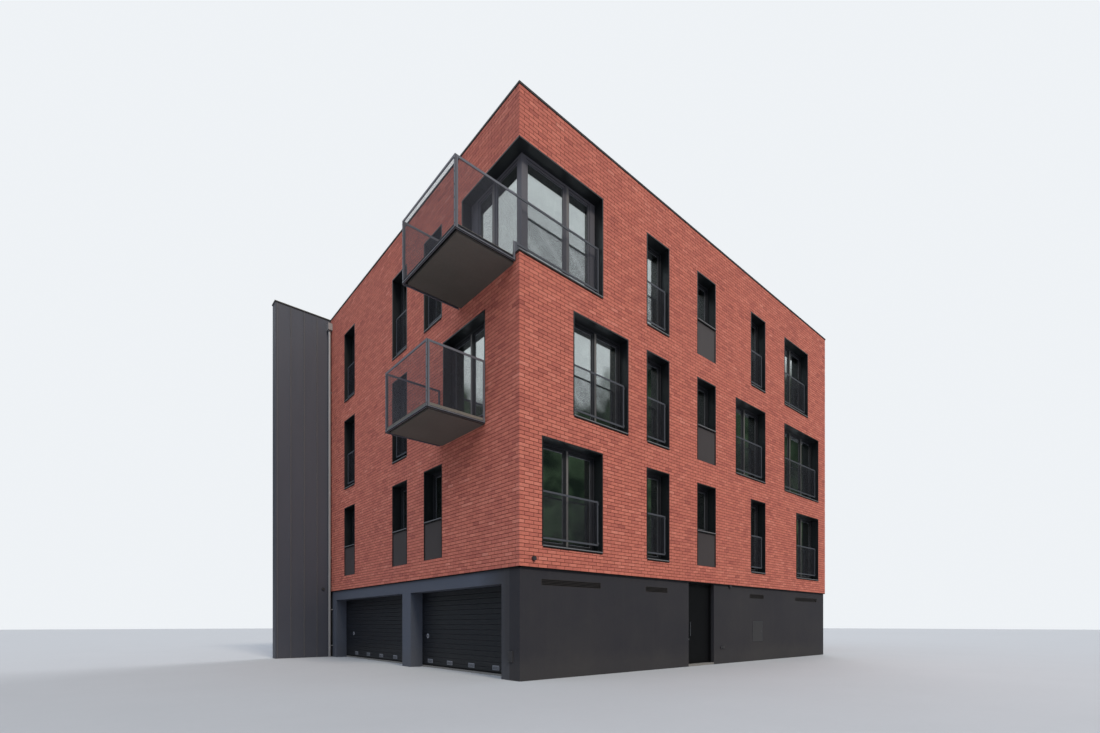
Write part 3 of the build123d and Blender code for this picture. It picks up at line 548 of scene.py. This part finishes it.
# %% Finishes of the nodes
brick_walls = [f"{side}_{part}" for side in ("front", "left", "right", "back")
               for part in ("bands", "piers")]
glass = [side + "_glass" for side in ("front", "left", "rear", "corner")]
finish_of = {
    "raked_mortar": brick_walls,
    "dark_render": ["plinth_front", "plinth_right", "plinth_back"],
    "garage_render": ["garage_piers", "garage_beam"],
    "plain_concrete": ["ground_slab", "upper_floors", "roof_slab", "door_threshold", "fin_wall"],
    "balcony_concrete": ["upper_balcony", "lower_balcony"],
    "roof_membrane": ["roof_covering"],
    "frame_anthracite": ["front_frames", "left_frames", "rear_frames"],
    "corner_frame_grey": ["corner_frame"],
    "lining_anthracite": ["front_linings", "left_linings", "rear_linings", "corner_linings"],
    "sill_sheet": ["window_sills"],
    "window_glass": glass,
    "spandrel_sheet": ["spandrel_panels"],
    "guard_grey": ["front_guards", "left_guards", "rear_guards", "corner_guard"],
    "railing_grey": ["upper_railing", "lower_railing"],
    "coping_sheet": ["coping"],
    "standing_seam_sheet": ["fin_cladding"],
    "garage_sheet": ["garage_doors", "garage_door_tracks"],
    "vent_plate": ["garage_door_plates"],
    "door_sheet": ["entrance_door", "entrance_frame"],
    "handle_steel": ["entrance_handle"],
    "pipe_sheet": ["downpipe", "pipe_fittings"],
    "vent_slats": ["plinth_vents"],
    "small_fittings": ["meter_hatch", "wall_lamps", "service_boxes"],
}
dressed = set()
for finish, names in finish_of.items():
    for name in names:
        held = nodes[name]
        held.data.materials.clear()
        held.data.materials.append(finishes[finish])
        dressed.add(name)
print("undressed nodes:", sorted(set(nodes) - dressed))

# %% [markdown]
# ## Facades
# Each facade gets a place function that turns a distance along it, a height and a distance
# outwards into a point, so the same code lays bricks and trims on all four sides.

# %% Places on the four facades
fin_skin = 0.012
front_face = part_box("front_bands")[0].y
back_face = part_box("back_bands")[1].y
left_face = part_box("front_bands")[0].x
right_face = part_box("front_bands")[1].x
fin_start = solids_of("fin_wall")[0][0][1] - fin_skin
wall_boxes = [box for name in brick_walls for box in solids_of(name)]
facades = {
    "front": (1, front_face, left_face, lambda u, z, o: (left_face + u, front_face - o, z)),
    "left": (0, left_face, front_face, lambda u, z, o: (left_face - o, front_face + u, z)),
    "right": (0, right_face, front_face, lambda u, z, o: (right_face + o, front_face + u, z)),
    "back": (1, back_face, left_face, lambda u, z, o: (left_face + u, back_face + o, z)),
}
print(len(wall_boxes), "walls and piers of brick")

# %% Brickwork and openings on a facade
same_plane = 0.001
same_edge = 0.002
narrowest_opening = 0.3


def span_on(side, low, high):
    """How far along a facade a box begins and ends."""
    axis, face, start, place = facades[side]
    return low[1 - axis] - start, high[1 - axis] - start


def wall_rectangles(side):
    """Rectangles of brickwork on one facade, as (start, end, low, high), side by side ones joined."""
    axis, face = facades[side][:2]
    found = {}
    for low, high in wall_boxes:
        if min(abs(low[axis] - face), abs(high[axis] - face)) < same_plane:
            heights = (round(low[2], 3), round(high[2], 3))
            found.setdefault(heights, []).append(span_on(side, low, high))
    rectangles = []
    for (low, high), spans in sorted(found.items()):
        joined = []
        for begin, end in sorted(spans):
            if joined and begin - joined[-1][1] < same_edge:
                joined[-1][1] = max(end, joined[-1][1])
            else:
                joined.append([begin, end])
        rectangles.extend((begin, end, low, high) for begin, end in joined)
    return rectangles


def facade_length(side):
    """The length of one facade."""
    return max(end for begin, end, low, high in wall_rectangles(side))


def openings_of(side):
    """Openings in the brickwork of one facade, as (start, end, low, high)."""
    found, row, last = [], None, 0.0
    for begin, end, low, high in wall_rectangles(side):
        last = last if row == (low, high) else 0.0
        if begin - last > narrowest_opening:
            found.append((last, begin, low, high))
        row, last = (low, high), end
    return found


def bar(kit, side, along, heights, out):
    """A box on a facade, from its spans along it, upwards and outwards."""
    place = facades[side][3]
    kit.box(place(along[0], heights[0], out[0]), place(along[1], heights[1], out[1]))


print(len(openings_of("front")), "openings in the entrance front")

# %% [markdown]
# ## The bricks
# The walls are laid in stretcher bond: bricks 240 mm long and 73 mm high, each course half a brick
# over from the one below, and locked together round the corners. Each brick is a small solid with
# a worn edge, a few millimetres proud of its mortar. The courses come from the boxes of the walls,
# so they always stop at the openings.

# %% Courses
brick_pitch = 0.25
course_pitch = 0.25 / 3
joint = 0.0105
proud = 0.0055
worn = 0.002
shortest = 0.05
tone_mean = 0.5
tone_spread = 0.17
sway = 0.001
lean = 0.0008
breaks = sorted({round(v, 3) for low, high in wall_boxes for v in (low[2], high[2])})
first_course = {}
count = 0
for low, high in zip(breaks, breaks[1:]):
    first_course[low] = count
    count += round((high - low) / course_pitch)
BRICK_FACES = BOX_FACES[1:]
print(count, "courses in all")


# %% One brick
def lay_brick(kit, place, ends, heights, at_corner, out, turn, tone):
    """One brick with a worn edge; at a wall corner it turns round to meet the next facade."""
    (begin, end), (foot, head) = ends, heights
    base = [begin, end]
    tip = [begin + worn, end - worn]
    depth = [0.0, 0.0]
    for n, sign in ((0, -1), (1, 1)):
        if at_corner[n]:
            base[n] = ends[n] + sign * out
            tip[n] = base[n] - sign * worn
            depth[n] = out - worn
    corners = [
        place(base[0], foot, depth[0]), place(base[1], foot, depth[1]),
        place(base[1], head, depth[1]), place(base[0], head, depth[0]),
        place(tip[0], foot + worn, out + turn), place(tip[1], foot + worn, out - turn),
        place(tip[1], head - worn, out - turn), place(tip[0], head - worn, out + turn),
    ]
    kit.add(corners, BRICK_FACES, tone)


def bond_marks(begin, end, shift):
    """Where the upright joints of a course fall, with both its ends."""
    first = math.floor((begin - shift) / brick_pitch)
    last = first + int((end - begin) / brick_pitch) + 3
    marks = [shift + k * brick_pitch for k in range(first, last)]
    return [begin] + [mark for mark in marks if begin + shortest < mark < end - shortest] + [end]


print("bricks of", brick_pitch - joint, "m")


# %% Laying the facades
def lay_facade(side, corner_names, half_first, stop=None):
    """Lay one facade between its two wall corners, or up to a stop."""
    kit = Kit()
    place = facades[side][3]
    length = facade_length(side)
    for begin, end, low, high in wall_rectangles(side):
        courses = round((high - low) / course_pitch)
        step = (high - low) / courses
        end = end if stop is None else min(end, stop)
        for n in range(courses if end - begin > shortest else 0):
            course = first_course[round(low, 3)] + n
            shift = brick_pitch / 2 if (course + half_first) % 2 else 0.0
            foot = low + n * step + joint / 2
            marks = bond_marks(begin, end, shift)
            for left_end, right_end in zip(marks, marks[1:]):
                at_corner = (left_end < same_plane, right_end > length - same_plane and stop is None)
                key = f"{side} {course} {left_end:.2f}"
                key = f"{corner_names[0]} {course}" if at_corner[0] else key
                key = f"{corner_names[1]} {course}" if at_corner[1] else key
                chance = random.Random(key)
                tone = min(max(chance.gauss(tone_mean, tone_spread), 0.0), 1.0)
                out = proud + chance.uniform(-sway, sway)
                turn = chance.uniform(-lean, lean)
                ends = (left_end + (0.0 if left_end == begin else joint / 2),
                        right_end - (0.0 if right_end == end else joint / 2))
                lay_brick(kit, place, ends, (foot, foot + step - joint), at_corner, out, turn, tone)
    make_piece(side + "_bricks", kit, "facing_brick")


lay_facade("front", ("near_corner", "right_corner"), 0)
lay_facade("left", ("near_corner", "fin_corner"), 1, stop=fin_start - front_face)
lay_facade("right", ("right_corner", "far_corner"), 1)
lay_facade("back", ("fin_end", "far_corner"), 0)

# %% [markdown]
# ## Trims of the openings
# A dark metal angle closes the brick edge at the two sides and the head of each opening, and a
# dark rail carries the lowest course over the plinth, black to paint the shadow line under the
# brick overhang. Under the bright nose of a sill, black strips on the lower lip and on the wall
# below it are painted shadow, which reads as one shadow line from the street.

# %% Edge angles
angle_width = 0.02
angle_lap = 0.012
angle_out = 0.0095
corner_zone = 0.1
for side in facades:
    kit = Kit()
    for begin, end, low, high in openings_of(side):
        top = (high - angle_lap, high + angle_width)
        start = -angle_out
        out = (0.0, angle_out)
        if begin > corner_zone:
            start = begin + angle_lap
            bar(kit, side, (begin - angle_width, start), (low, top[1]), out)
        bar(kit, side, (end - angle_lap, end + angle_width), (low, top[1]), out)
        bar(kit, side, (start, end - angle_lap), top, out)
    make_piece(side + "_edge_angles", kit, "lining_anthracite")

# %% Rail under the lowest course, black as painted shadow
rail_height = 0.022
rail_out = 0.004
rail_back = -0.039
brick_foot = min(low[2] for low, high in wall_boxes)
# The rail is black to paint the shadow line under the overhanging bricks.
rail = Kit()
for side in facades:
    run = fin_start - front_face if side == "left" else facade_length(side) + rail_out
    heights = (brick_foot - rail_height, brick_foot)
    bar(rail, side, (-rail_out, run), heights, (rail_back, rail_out))
make_piece("brick_foot_painted_shadow", rail, "black_gasket")

# %% Painted shadow under the sills
sill_nose = 0.025
sill_lip = 0.045
bright_lip = 0.024
shadow_strip_out = 0.0005
wall_shadow_height = 0.012
wall_shadow_out = 0.014
wall_shadow_past_corner = 0.01


def side_of(low, high, reach):
    """The facades that a box stands out from by a given reach."""
    outer = {
        "front": front_face - low[1], "left": left_face - low[0],
        "right": high[0] - right_face, "back": high[1] - back_face,
    }
    return [side for side, out in outer.items() if abs(out - reach) < 0.003]


# The noses on the right side are the block's outermost edge there, so their lips get no painted shadow.
# Black strips on the lower lip of each nose and on the wall under it paint the nose's shadow.
sill_shadow_strips = Kit()
for low, high in solids_of("window_sills"):
    for side in side_of(low, high, sill_nose):
        span = span_on(side, low, high)
        foot = high[2] - sill_lip
        if side != "right":
            out = (sill_nose - 2 * shadow_strip_out, sill_nose + shadow_strip_out)
            bar(sill_shadow_strips, side, span, (foot, high[2] - bright_lip), out)
        span = (max(span[0], -wall_shadow_past_corner), span[1])
        bar(sill_shadow_strips, side, span, (foot - wall_shadow_height, foot), (0.0, wall_shadow_out))
make_piece("sill_painted_shadow", sill_shadow_strips, "black_gasket")

# %% [markdown]
# ## Gaskets, spacers and meeting strips of the windows
# A black gasket lies round each pane and a thin dark joint round each sash, with the bright spacer
# of the sealed unit just inside the gasket. A strip covers the joint between two sashes, painted
# light grey as the highlight on its lit side. All of them are measured from the boxes of the panes.

# %% Rings round the panes
frame_setback = 0.25
sash_setback = 0.262
glass_setback = 0.285
sash_width = 0.05
sash_joint = 0.007
sash_joint_out = 0.003
gasket_width = 0.009
gasket_out = 0.004
spacer_width = 0.008
spacer_out = 0.0015
narrowest_pane = 0.1


def ring(kit, side, rectangle, inset, width, out):
    """Four bars of a width inside a rectangle on a facade, drawn in by an inset."""
    begin, end, low, high = rectangle
    begin, end, low, high = begin + inset, end - inset, low + inset, high - inset
    between = (low + width, high - width)
    bar(kit, side, (begin, end), (low, low + width), out)
    bar(kit, side, (begin, end), (high - width, high), out)
    bar(kit, side, (begin, begin + width), between, out)
    bar(kit, side, (end - width, end), between, out)


panes = {side: [] for side in facades}
for name in glass:
    for low, high in solids_of(name):
        for side in side_of(low, high, -glass_setback):
            begin, end = span_on(side, low, high)
            if end - begin > narrowest_pane:
                panes[side].append((begin, end, low[2], high[2]))
gaskets, spacers = Kit(), Kit()
rings = [
    (gaskets, 0.0, gasket_width, glass_setback, gasket_out),
    (gaskets, -sash_width, sash_joint, sash_setback, sash_joint_out),
    (spacers, gasket_width, spacer_width, glass_setback, spacer_out),
]
for side, rectangles in panes.items():
    for pane in rectangles:
        for kit, inset, width, setback, out in rings:
            ring(kit, side, pane, inset, width, (-setback, out - setback))
make_piece("glass_gaskets", gaskets, "black_gasket")
make_piece("glass_spacers", spacers, "vent_plate")

# %% Meeting strips, painted light as highlights
strip_width = 0.055
strip_out = 0.004
strip_back = 0.012
widest_post = 0.25
same_row = 0.01
strips = Kit()
for side, rectangles in panes.items():
    rectangles = sorted(rectangles, key=lambda r: (r[2], r[0]))
    for one, other in zip(rectangles, rectangles[1:]):
        if abs(one[2] - other[2]) < same_row and 0.0 < other[0] - one[1] < widest_post:
            middle = (one[1] + other[0]) / 2
            heights = (one[2] - sash_width, one[3] + sash_width)
            out = (-frame_setback - strip_back, strip_out - frame_setback)
            bar(strips, side, (middle, middle + strip_width), heights, out)
make_piece("meeting_strips", strips, "meeting_strip")

# %% [markdown]
# ## The wire mesh of guards and railings
# Each flat-bar frame holds a fine diamond mesh, nearly see-through from the street. A picture of
# it would be lighter, but real wires catch the light and stay true from near by, so each wire is
# a thin bar, cut to the inside of its frame.

# %% Mesh panels
diamond_width = 0.031
diamond_height = 0.024
wire_size = 0.0018
wire_slope = diamond_height / diamond_width
wire_tilt = math.atan(wire_slope)
WIRE_FACES = [(0, 1, 5, 4), (1, 3, 7, 5), (3, 2, 6, 7), (2, 0, 4, 6)]


def mesh_panel(kit, place, span, heights):
    """Two crossing families of wires inside a rectangle on a panel."""
    (begin, end), (low, high) = span, heights
    wide, tall = end - begin, high - low
    half = wire_size / 2
    lift = half * math.cos(wire_tilt)
    for rising in (True, False):
        depth = half if rising else -half
        sign = half * math.sin(wire_tilt) * (1 if rising else -1)
        offset = -wide * wire_slope + diamond_height / 2
        while offset < tall:
            first = max(0.0, -offset / wire_slope)
            last = min(wide, (tall - offset) / wire_slope)
            if last - first > diamond_width / 3:
                points = []
                for along in (first, last):
                    up = low + along * wire_slope + offset
                    across = begin + (along if rising else wide - along)
                    for out in (depth - half, depth + half):
                        points.append(place(across - sign, up + lift, out))
                        points.append(place(across + sign, up - lift, out))
                kit.add(points, WIRE_FACES)
            offset += diamond_height


def panel_of(low, high):
    """The place function of an upright panel, and its span along its longer side."""
    axis = 0 if high[0] - low[0] < high[1] - low[1] else 1
    middle = (low[axis] + high[axis]) / 2
    places = (lambda u, z, o: (middle + o, u, z), lambda u, z, o: (u, middle + o, z))
    return places[axis], low[1 - axis], high[1 - axis]


print("wires", wire_size, "m thick")

# %% Mesh of the guards in the openings
guard_bar = 0.04
guard_fixing = 0.02
guard_edge = guard_bar + guard_fixing
for name in ("front_guards", "left_guards", "rear_guards"):
    kit = Kit()
    for low, high in solids_of(name):
        place, begin, end = panel_of(low, high)
        heights = (low[2] + guard_bar, high[2] - guard_bar)
        mesh_panel(kit, place, (begin + guard_edge, end - guard_edge), heights)
    make_piece(name + "_mesh", kit, "guard_wire")

# %% Mesh of the balcony railings and of the corner guard
# The near end frame of the upper railing has no post at the wall; the corner guard goes on there.
post = 0.045
guard_lift = 0.15
near_zone = 1.0
for name in ("upper_railing", "lower_railing"):
    kit = Kit()
    for low, high in solids_of(name):
        place, begin, end = panel_of(low, high)
        open_end = name == "upper_railing" and high[1] < front_face + near_zone
        span = (begin + post, end if open_end else end - post)
        mesh_panel(kit, place, span, (low[2] + post, high[2] - post))
    make_piece(name + "_mesh", kit, "railing_wire")

kit = Kit()
low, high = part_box("corner_guard")
place, begin, end = panel_of(low, high)
mesh_panel(kit, place, (begin, end - post), (low[2] + guard_lift + post, high[2] - post))
make_piece("corner_guard_mesh", kit, "railing_wire")

# %% [markdown]
# ## Balcony details
# The soffit is set in from the railing, and the gap between them is painted black from below as
# shade. Black strips also paint the shade along the foot of each frame, on the edge of the upper
# slab and in a seam where two frames meet at a corner. On the lower balcony the edge of the paving
# shows as a pale line through the mesh. Small dark bolts hold the frames.

# %% Painted shade, paving edges and bolts
rim_height = 0.05
rim_drip = 0.07
shadow_depth = 0.014
edge_out = 0.003
foot_shade_height = 0.021
foot_shade_proud = 0.0015
wall_gap = 0.03
seam_in = 0.021
seam_half = 0.005
bolt_count = 6
bolt_margin = 0.09
bolt_in = 0.016


def wrap(kit, low, high, wall_side, out, foot, head):
    """Thin strips on the three open sides of a balcony."""
    kit.box((low.x - out, low.y, foot), (low.x, high.y, head))
    kit.box((low.x - out, low.y - out, foot), (wall_side, low.y, head))
    kit.box((low.x - out, high.y, foot), (wall_side, high.y + out, head))


balcony_shade_strips, edges, bolts = Kit(), Kit(), Kit()
for name, railing in (("upper_balcony", "upper_railing"), ("lower_balcony", "lower_railing")):
    low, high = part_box(name)
    under = high.z - rim_height
    dark = under - shadow_depth
    inner = (low.x + rim_drip, low.y + rim_drip, high.y - rim_drip)
    # Black strips paint the shade in the gap under the rim.
    balcony_shade_strips.box((low.x, low.y, dark), (high.x, inner[1], under))
    balcony_shade_strips.box((low.x, inner[2], dark), (high.x, high.y, under))
    balcony_shade_strips.box((low.x, inner[1], dark), (inner[0], inner[2], under))
    # The edge of the upper slab is painted black as shade; the lower one shows its pale paving.
    rim = edges if name == "lower_balcony" else balcony_shade_strips
    wrap(rim, low, high, high.x, edge_out, under, high.z)
    wall_side = high.x - wall_gap
    low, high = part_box(railing)
    # A black band paints the shade along the foot of each frame, and a black seam where two frames meet.
    top = low.z + foot_shade_height
    wrap(balcony_shade_strips, low, high, wall_side, foot_shade_proud, low.z, top)
    seam = low.x + seam_in
    for y0, y1 in ((low.y - foot_shade_proud, low.y), (high.y, high.y + foot_shade_proud)):
        balcony_shade_strips.box((seam - seam_half, y0, top), (seam + seam_half, y1, high.z - 0.002))
    for n in range(bolt_count):
        rise = n * (high.z - low.z - 2 * bolt_margin) / (bolt_count - 1)
        for y in (low.y + bolt_in, high.y - bolt_in):
            bolts.disc((low.x, y, low.z + bolt_margin + rise), (-1, 0, 0), 0.009, 0.006, 12)
make_piece("balcony_painted_shade", balcony_shade_strips, "black_gasket")
make_piece("balcony_paving_edges", edges, "balcony_paving")
make_piece("railing_bolts", bolts, "black_gasket")

# %% Paving slabs on the balconies
slab_size = 0.4
slab_joint = 0.003
slab_thickness = 0.012


def slab_spans(low, high):
    """A length cut into even slabs, less their joints."""
    count = max(1, round((high - low) / slab_size))
    cuts = [low + (high - low) * n / count for n in range(count + 1)]
    return [(begin + slab_joint, end - slab_joint) for begin, end in zip(cuts, cuts[1:])]


slabs = Kit()
for name in ("upper_balcony", "lower_balcony"):
    low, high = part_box(name)
    for x0, x1 in slab_spans(low.x, high.x):
        for y0, y1 in slab_spans(low.y, high.y):
            slabs.box((x0, y0, high.z), (x1, y1, high.z + slab_thickness))
make_piece("balcony_paving", slabs, "balcony_paving")

# %% [markdown]
# ## Coping, roof and rainwater
# The coping is folded from sheet in lengths, with a strap over each joint. The roof's membrane is
# welded from sheets a metre wide, turned up at the parapet under a clamping bar, and it drains to
# two gratings. The downpipe has a collar at each length. The seams of the fin wall catch the
# light on their crests, and so does the edge of its cap: pale strips paint these highlights.

# %% Coping straps
coping_low, coping_high = (corner.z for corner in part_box("coping"))
coping_length = 2.5
strap_half = 0.025
strap_reach = (0.019, 0.0215)
straps = Kit()
for side in facades:
    run = facade_length(side)
    lengths = round(run / coping_length)
    for n in range(1, lengths):
        middle = run * n / lengths
        heights = (coping_low + 0.002, coping_high - 0.001)
        bar(straps, side, (middle - strap_half, middle + strap_half), heights, strap_reach)
make_piece("coping_straps", straps, "coping_sheet")

# %% Painted highlights on the crests of the seams and on the edge of the cap of the fin wall
crest = 0.001
crest_inset = 0.002
crest_below_top = 0.05
cap_lip = 0.014
cap_from_wall = 0.03
crests = Kit()
skin = nodes["fin_cladding"].data
low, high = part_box("fin_cladding")
skin_face = low.y
crest_top = high.z - crest_below_top
seam_sides = sorted({round(v.co.x, 4) for v in skin.vertices if v.co.y < skin_face + crest})
for begin, end in zip(seam_sides[::2], seam_sides[1::2]):
    low_corner = (begin + crest_inset, skin_face - crest, 0.0)
    crests.box(low_corner, (end - crest_inset, skin_face, crest_top))
low, high = solids_of("coping")[0]
cap_corner = (low[0], low[1] - crest, high[2] - cap_lip)
crests.box(cap_corner, (left_face - cap_from_wall, low[1], high[2] - crest))
make_piece("fin_crests", crests, "meeting_strip")

# %% Roof seams and upstand
low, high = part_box("roof_covering")
roof_top = high.z
lap_half = 0.04
lap_end = 0.01
lap_height = 0.003
turned_up = (roof_top, coping_low - 0.06)
clamped = (turned_up[1] - 0.03, turned_up[1])
seams, upstand, outlets = Kit(), Kit(), Kit()
sheets = int(high.x - low.x)
for n in range(1, sheets):
    x = low.x + (high.x - low.x) * n / sheets
    corner = (x - lap_half, low.y + lap_end, roof_top)
    seams.box(corner, (x + lap_half, high.y - lap_end, roof_top + lap_height))
for share in (1 / 3, 2 / 3):
    y = low.y + (high.y - low.y) * share
    corner = (low.x + lap_end, y - lap_half, roof_top + 0.001)
    seams.box(corner, (high.x - lap_end, y + lap_half, roof_top + lap_height + 0.001))
make_piece("roof_seams", seams, "roof_seam")
for depth, (foot, head), kit in ((0.004, turned_up, upstand), (0.009, clamped, outlets)):
    y0, y1 = low.y + depth, high.y - depth
    kit.box((low.x, low.y, foot), (high.x, y0, head))
    kit.box((low.x, y1, foot), (high.x, high.y, head))
    kit.box((low.x, y0, foot), (low.x + depth, y1, head))
    kit.box((high.x - depth, y0, foot), (high.x, y1, head))
make_piece("roof_upstand", upstand, "roof_seam")

# %% Roof outlets
outlet_from_side = 2.2
outlet_from_back = 1.2
grating_radius = 0.15
grating_pitch = 0.034
grating_half = 0.006
for x in (low.x + outlet_from_side, high.x - outlet_from_side):
    y = high.y - outlet_from_back
    outlets.disc((x, y, roof_top), (0, 0, 1), grating_radius + 0.02, 0.012, 28)
    for n in range(-4, 5):
        across = n * grating_pitch
        half = math.sqrt(grating_radius ** 2 - across ** 2)
        corner = (x + across - grating_half, y - half, roof_top + 0.01)
        outlets.box(corner, (x + across + grating_half, y + half, roof_top + 0.03))
make_piece("roof_bars_and_outlets", outlets, "vent_plate")

# %% Collars of the downpipe
collar_heights = (0.28, 2.9, 5.9, 8.9)
collar_out = 0.004
collar_length = 0.08
collars = Kit()
low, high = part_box("downpipe")
x, y, z = middle_of(low, high)
for height in collar_heights:
    collars.disc((x, y, height), (0, 0, 1), (high.x - low.x) / 2 + collar_out, collar_length, 28)
make_piece("downpipe_collars", collars, "pipe_sheet")

# %% [markdown]
# ## Ground storey details
# The garage doors close on a rubber seal, with a round lock in each square plate and blades in
# each grille. The meter hatch has a slim edge and a small lock, and the small plates have screws.
# Each wall lamp sits on a flat collar, and the entrance door has a cylinder lock under its handle.

# %% Garage seals, locks and blades
seal_out = 0.012
seal_inset = 0.02
seal_height = 0.035
blade_count = 5
blade_height = 0.007
blade_out = 0.002
blade_inset = 0.015
grille_edge = 0.014
square_within = 0.01
seals, blades = Kit(), Kit()
for low, high in solids_of("garage_doors"):
    corner = (low[0] - seal_out, low[1] + seal_inset, low[2])
    seals.box(corner, (low[0], high[1] - seal_inset, low[2] + seal_height))
for low, high in solids_of("garage_door_plates"):
    wide, tall = high[1] - low[1], high[2] - low[2]
    if abs(wide - tall) < square_within:
        centre = (low[0], *middle_of(low, high)[1:])
        blades.disc(centre, (-1, 0, 0), 0.022, 0.006, 20)
        continue
    for n in range(blade_count):
        foot = low[2] + grille_edge + n * (tall - 2 * grille_edge) / blade_count
        corner = (low[0] - blade_out, low[1] + blade_inset, foot)
        blades.box(corner, (low[0], high[1] - blade_inset, foot + blade_height))
make_piece("garage_seals", seals, "black_gasket")
make_piece("garage_locks_and_blades", blades, "garage_sheet")

# %% Hatch edge, small locks and screws
hatch_edge = 0.012
hatch_edge_out = 0.003
hatch_lock_in = 0.07
screw_in = (0.02, 0.015)
edging, lids = Kit(), Kit()
low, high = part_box("meter_hatch")
rectangle = (low.x - left_face, high.x - left_face, low.z, high.z)
out = front_face - low.y
ring(edging, "front", rectangle, 0.0, hatch_edge, (out, out + hatch_edge_out))
make_piece("hatch_edge", edging, "hatch_edging")
lids.disc((high.x - hatch_lock_in, low.y, (low.z + high.z) / 2), (0, -1, 0), 0.014, 0.006, 16)
for low, high in solids_of("service_boxes"):
    on_front = high[0] - low[0] > high[1] - low[1]
    along = 0 if on_front else 1
    for spot in (low[along] + screw_in[0], high[along] - screw_in[0]):
        for height in (low[2] + screw_in[1], high[2] - screw_in[1]):
            centre = (spot, low[1], height) if on_front else (low[0], spot, height)
            lids.disc(centre, (0, -1, 0) if on_front else (-1, 0, 0), 0.005, 0.002, 10)
make_piece("hatch_lock_and_screws", lids, "handle_steel")

# %% Lamp collars and door lock
lamp_collar_out = 0.008
lock_below_grip = 0.09
lamp_rings = Kit()
for low, high in solids_of("wall_lamps"):
    x, y, z = middle_of(low, high)
    lamp_rings.disc((x, high[1], z), (0, -1, 0), (high[2] - low[2]) / 2 + lamp_collar_out, 0.012, 28)
make_piece("lamp_collars", lamp_rings, "black_gasket")
low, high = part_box("entrance_handle")
lock = Kit()
centre = (middle_of(low, high)[0], high.y, low.z - lock_below_grip)
lock.disc(centre, (0, -1, 0), 0.026, 0.008, 24)
make_piece("door_lock", lock, "handle_steel", "door")

# %% [markdown]
# ## The floor
# The block stands on a plain pale floor that reaches the horizon, and it keeps the shadow.

# %% Floor
reach = 150.0
floor_corners = [(-reach, -reach, 0), (reach, -reach, 0), (reach, reach, 0), (-reach, reach, 0)]
floor_mesh = bpy.data.meshes.new("floor")
floor_mesh.from_pydata(floor_corners, [], [(0, 1, 2, 3)])
floor_colours = ((188, 188, 190), (180, 180, 182))
outdoor_finish("floor_pale", *floor_colours, (0.0, 0.2, 0.0), 0.9, 8.0, 0.02, 0.0005, 0.1)
floor_mesh.materials.append(finishes["floor_pale"])
floor = bpy.data.objects.new("floor", floor_mesh)
scene.collection.objects.link(floor)
print("floor", 2 * reach, "m wide")
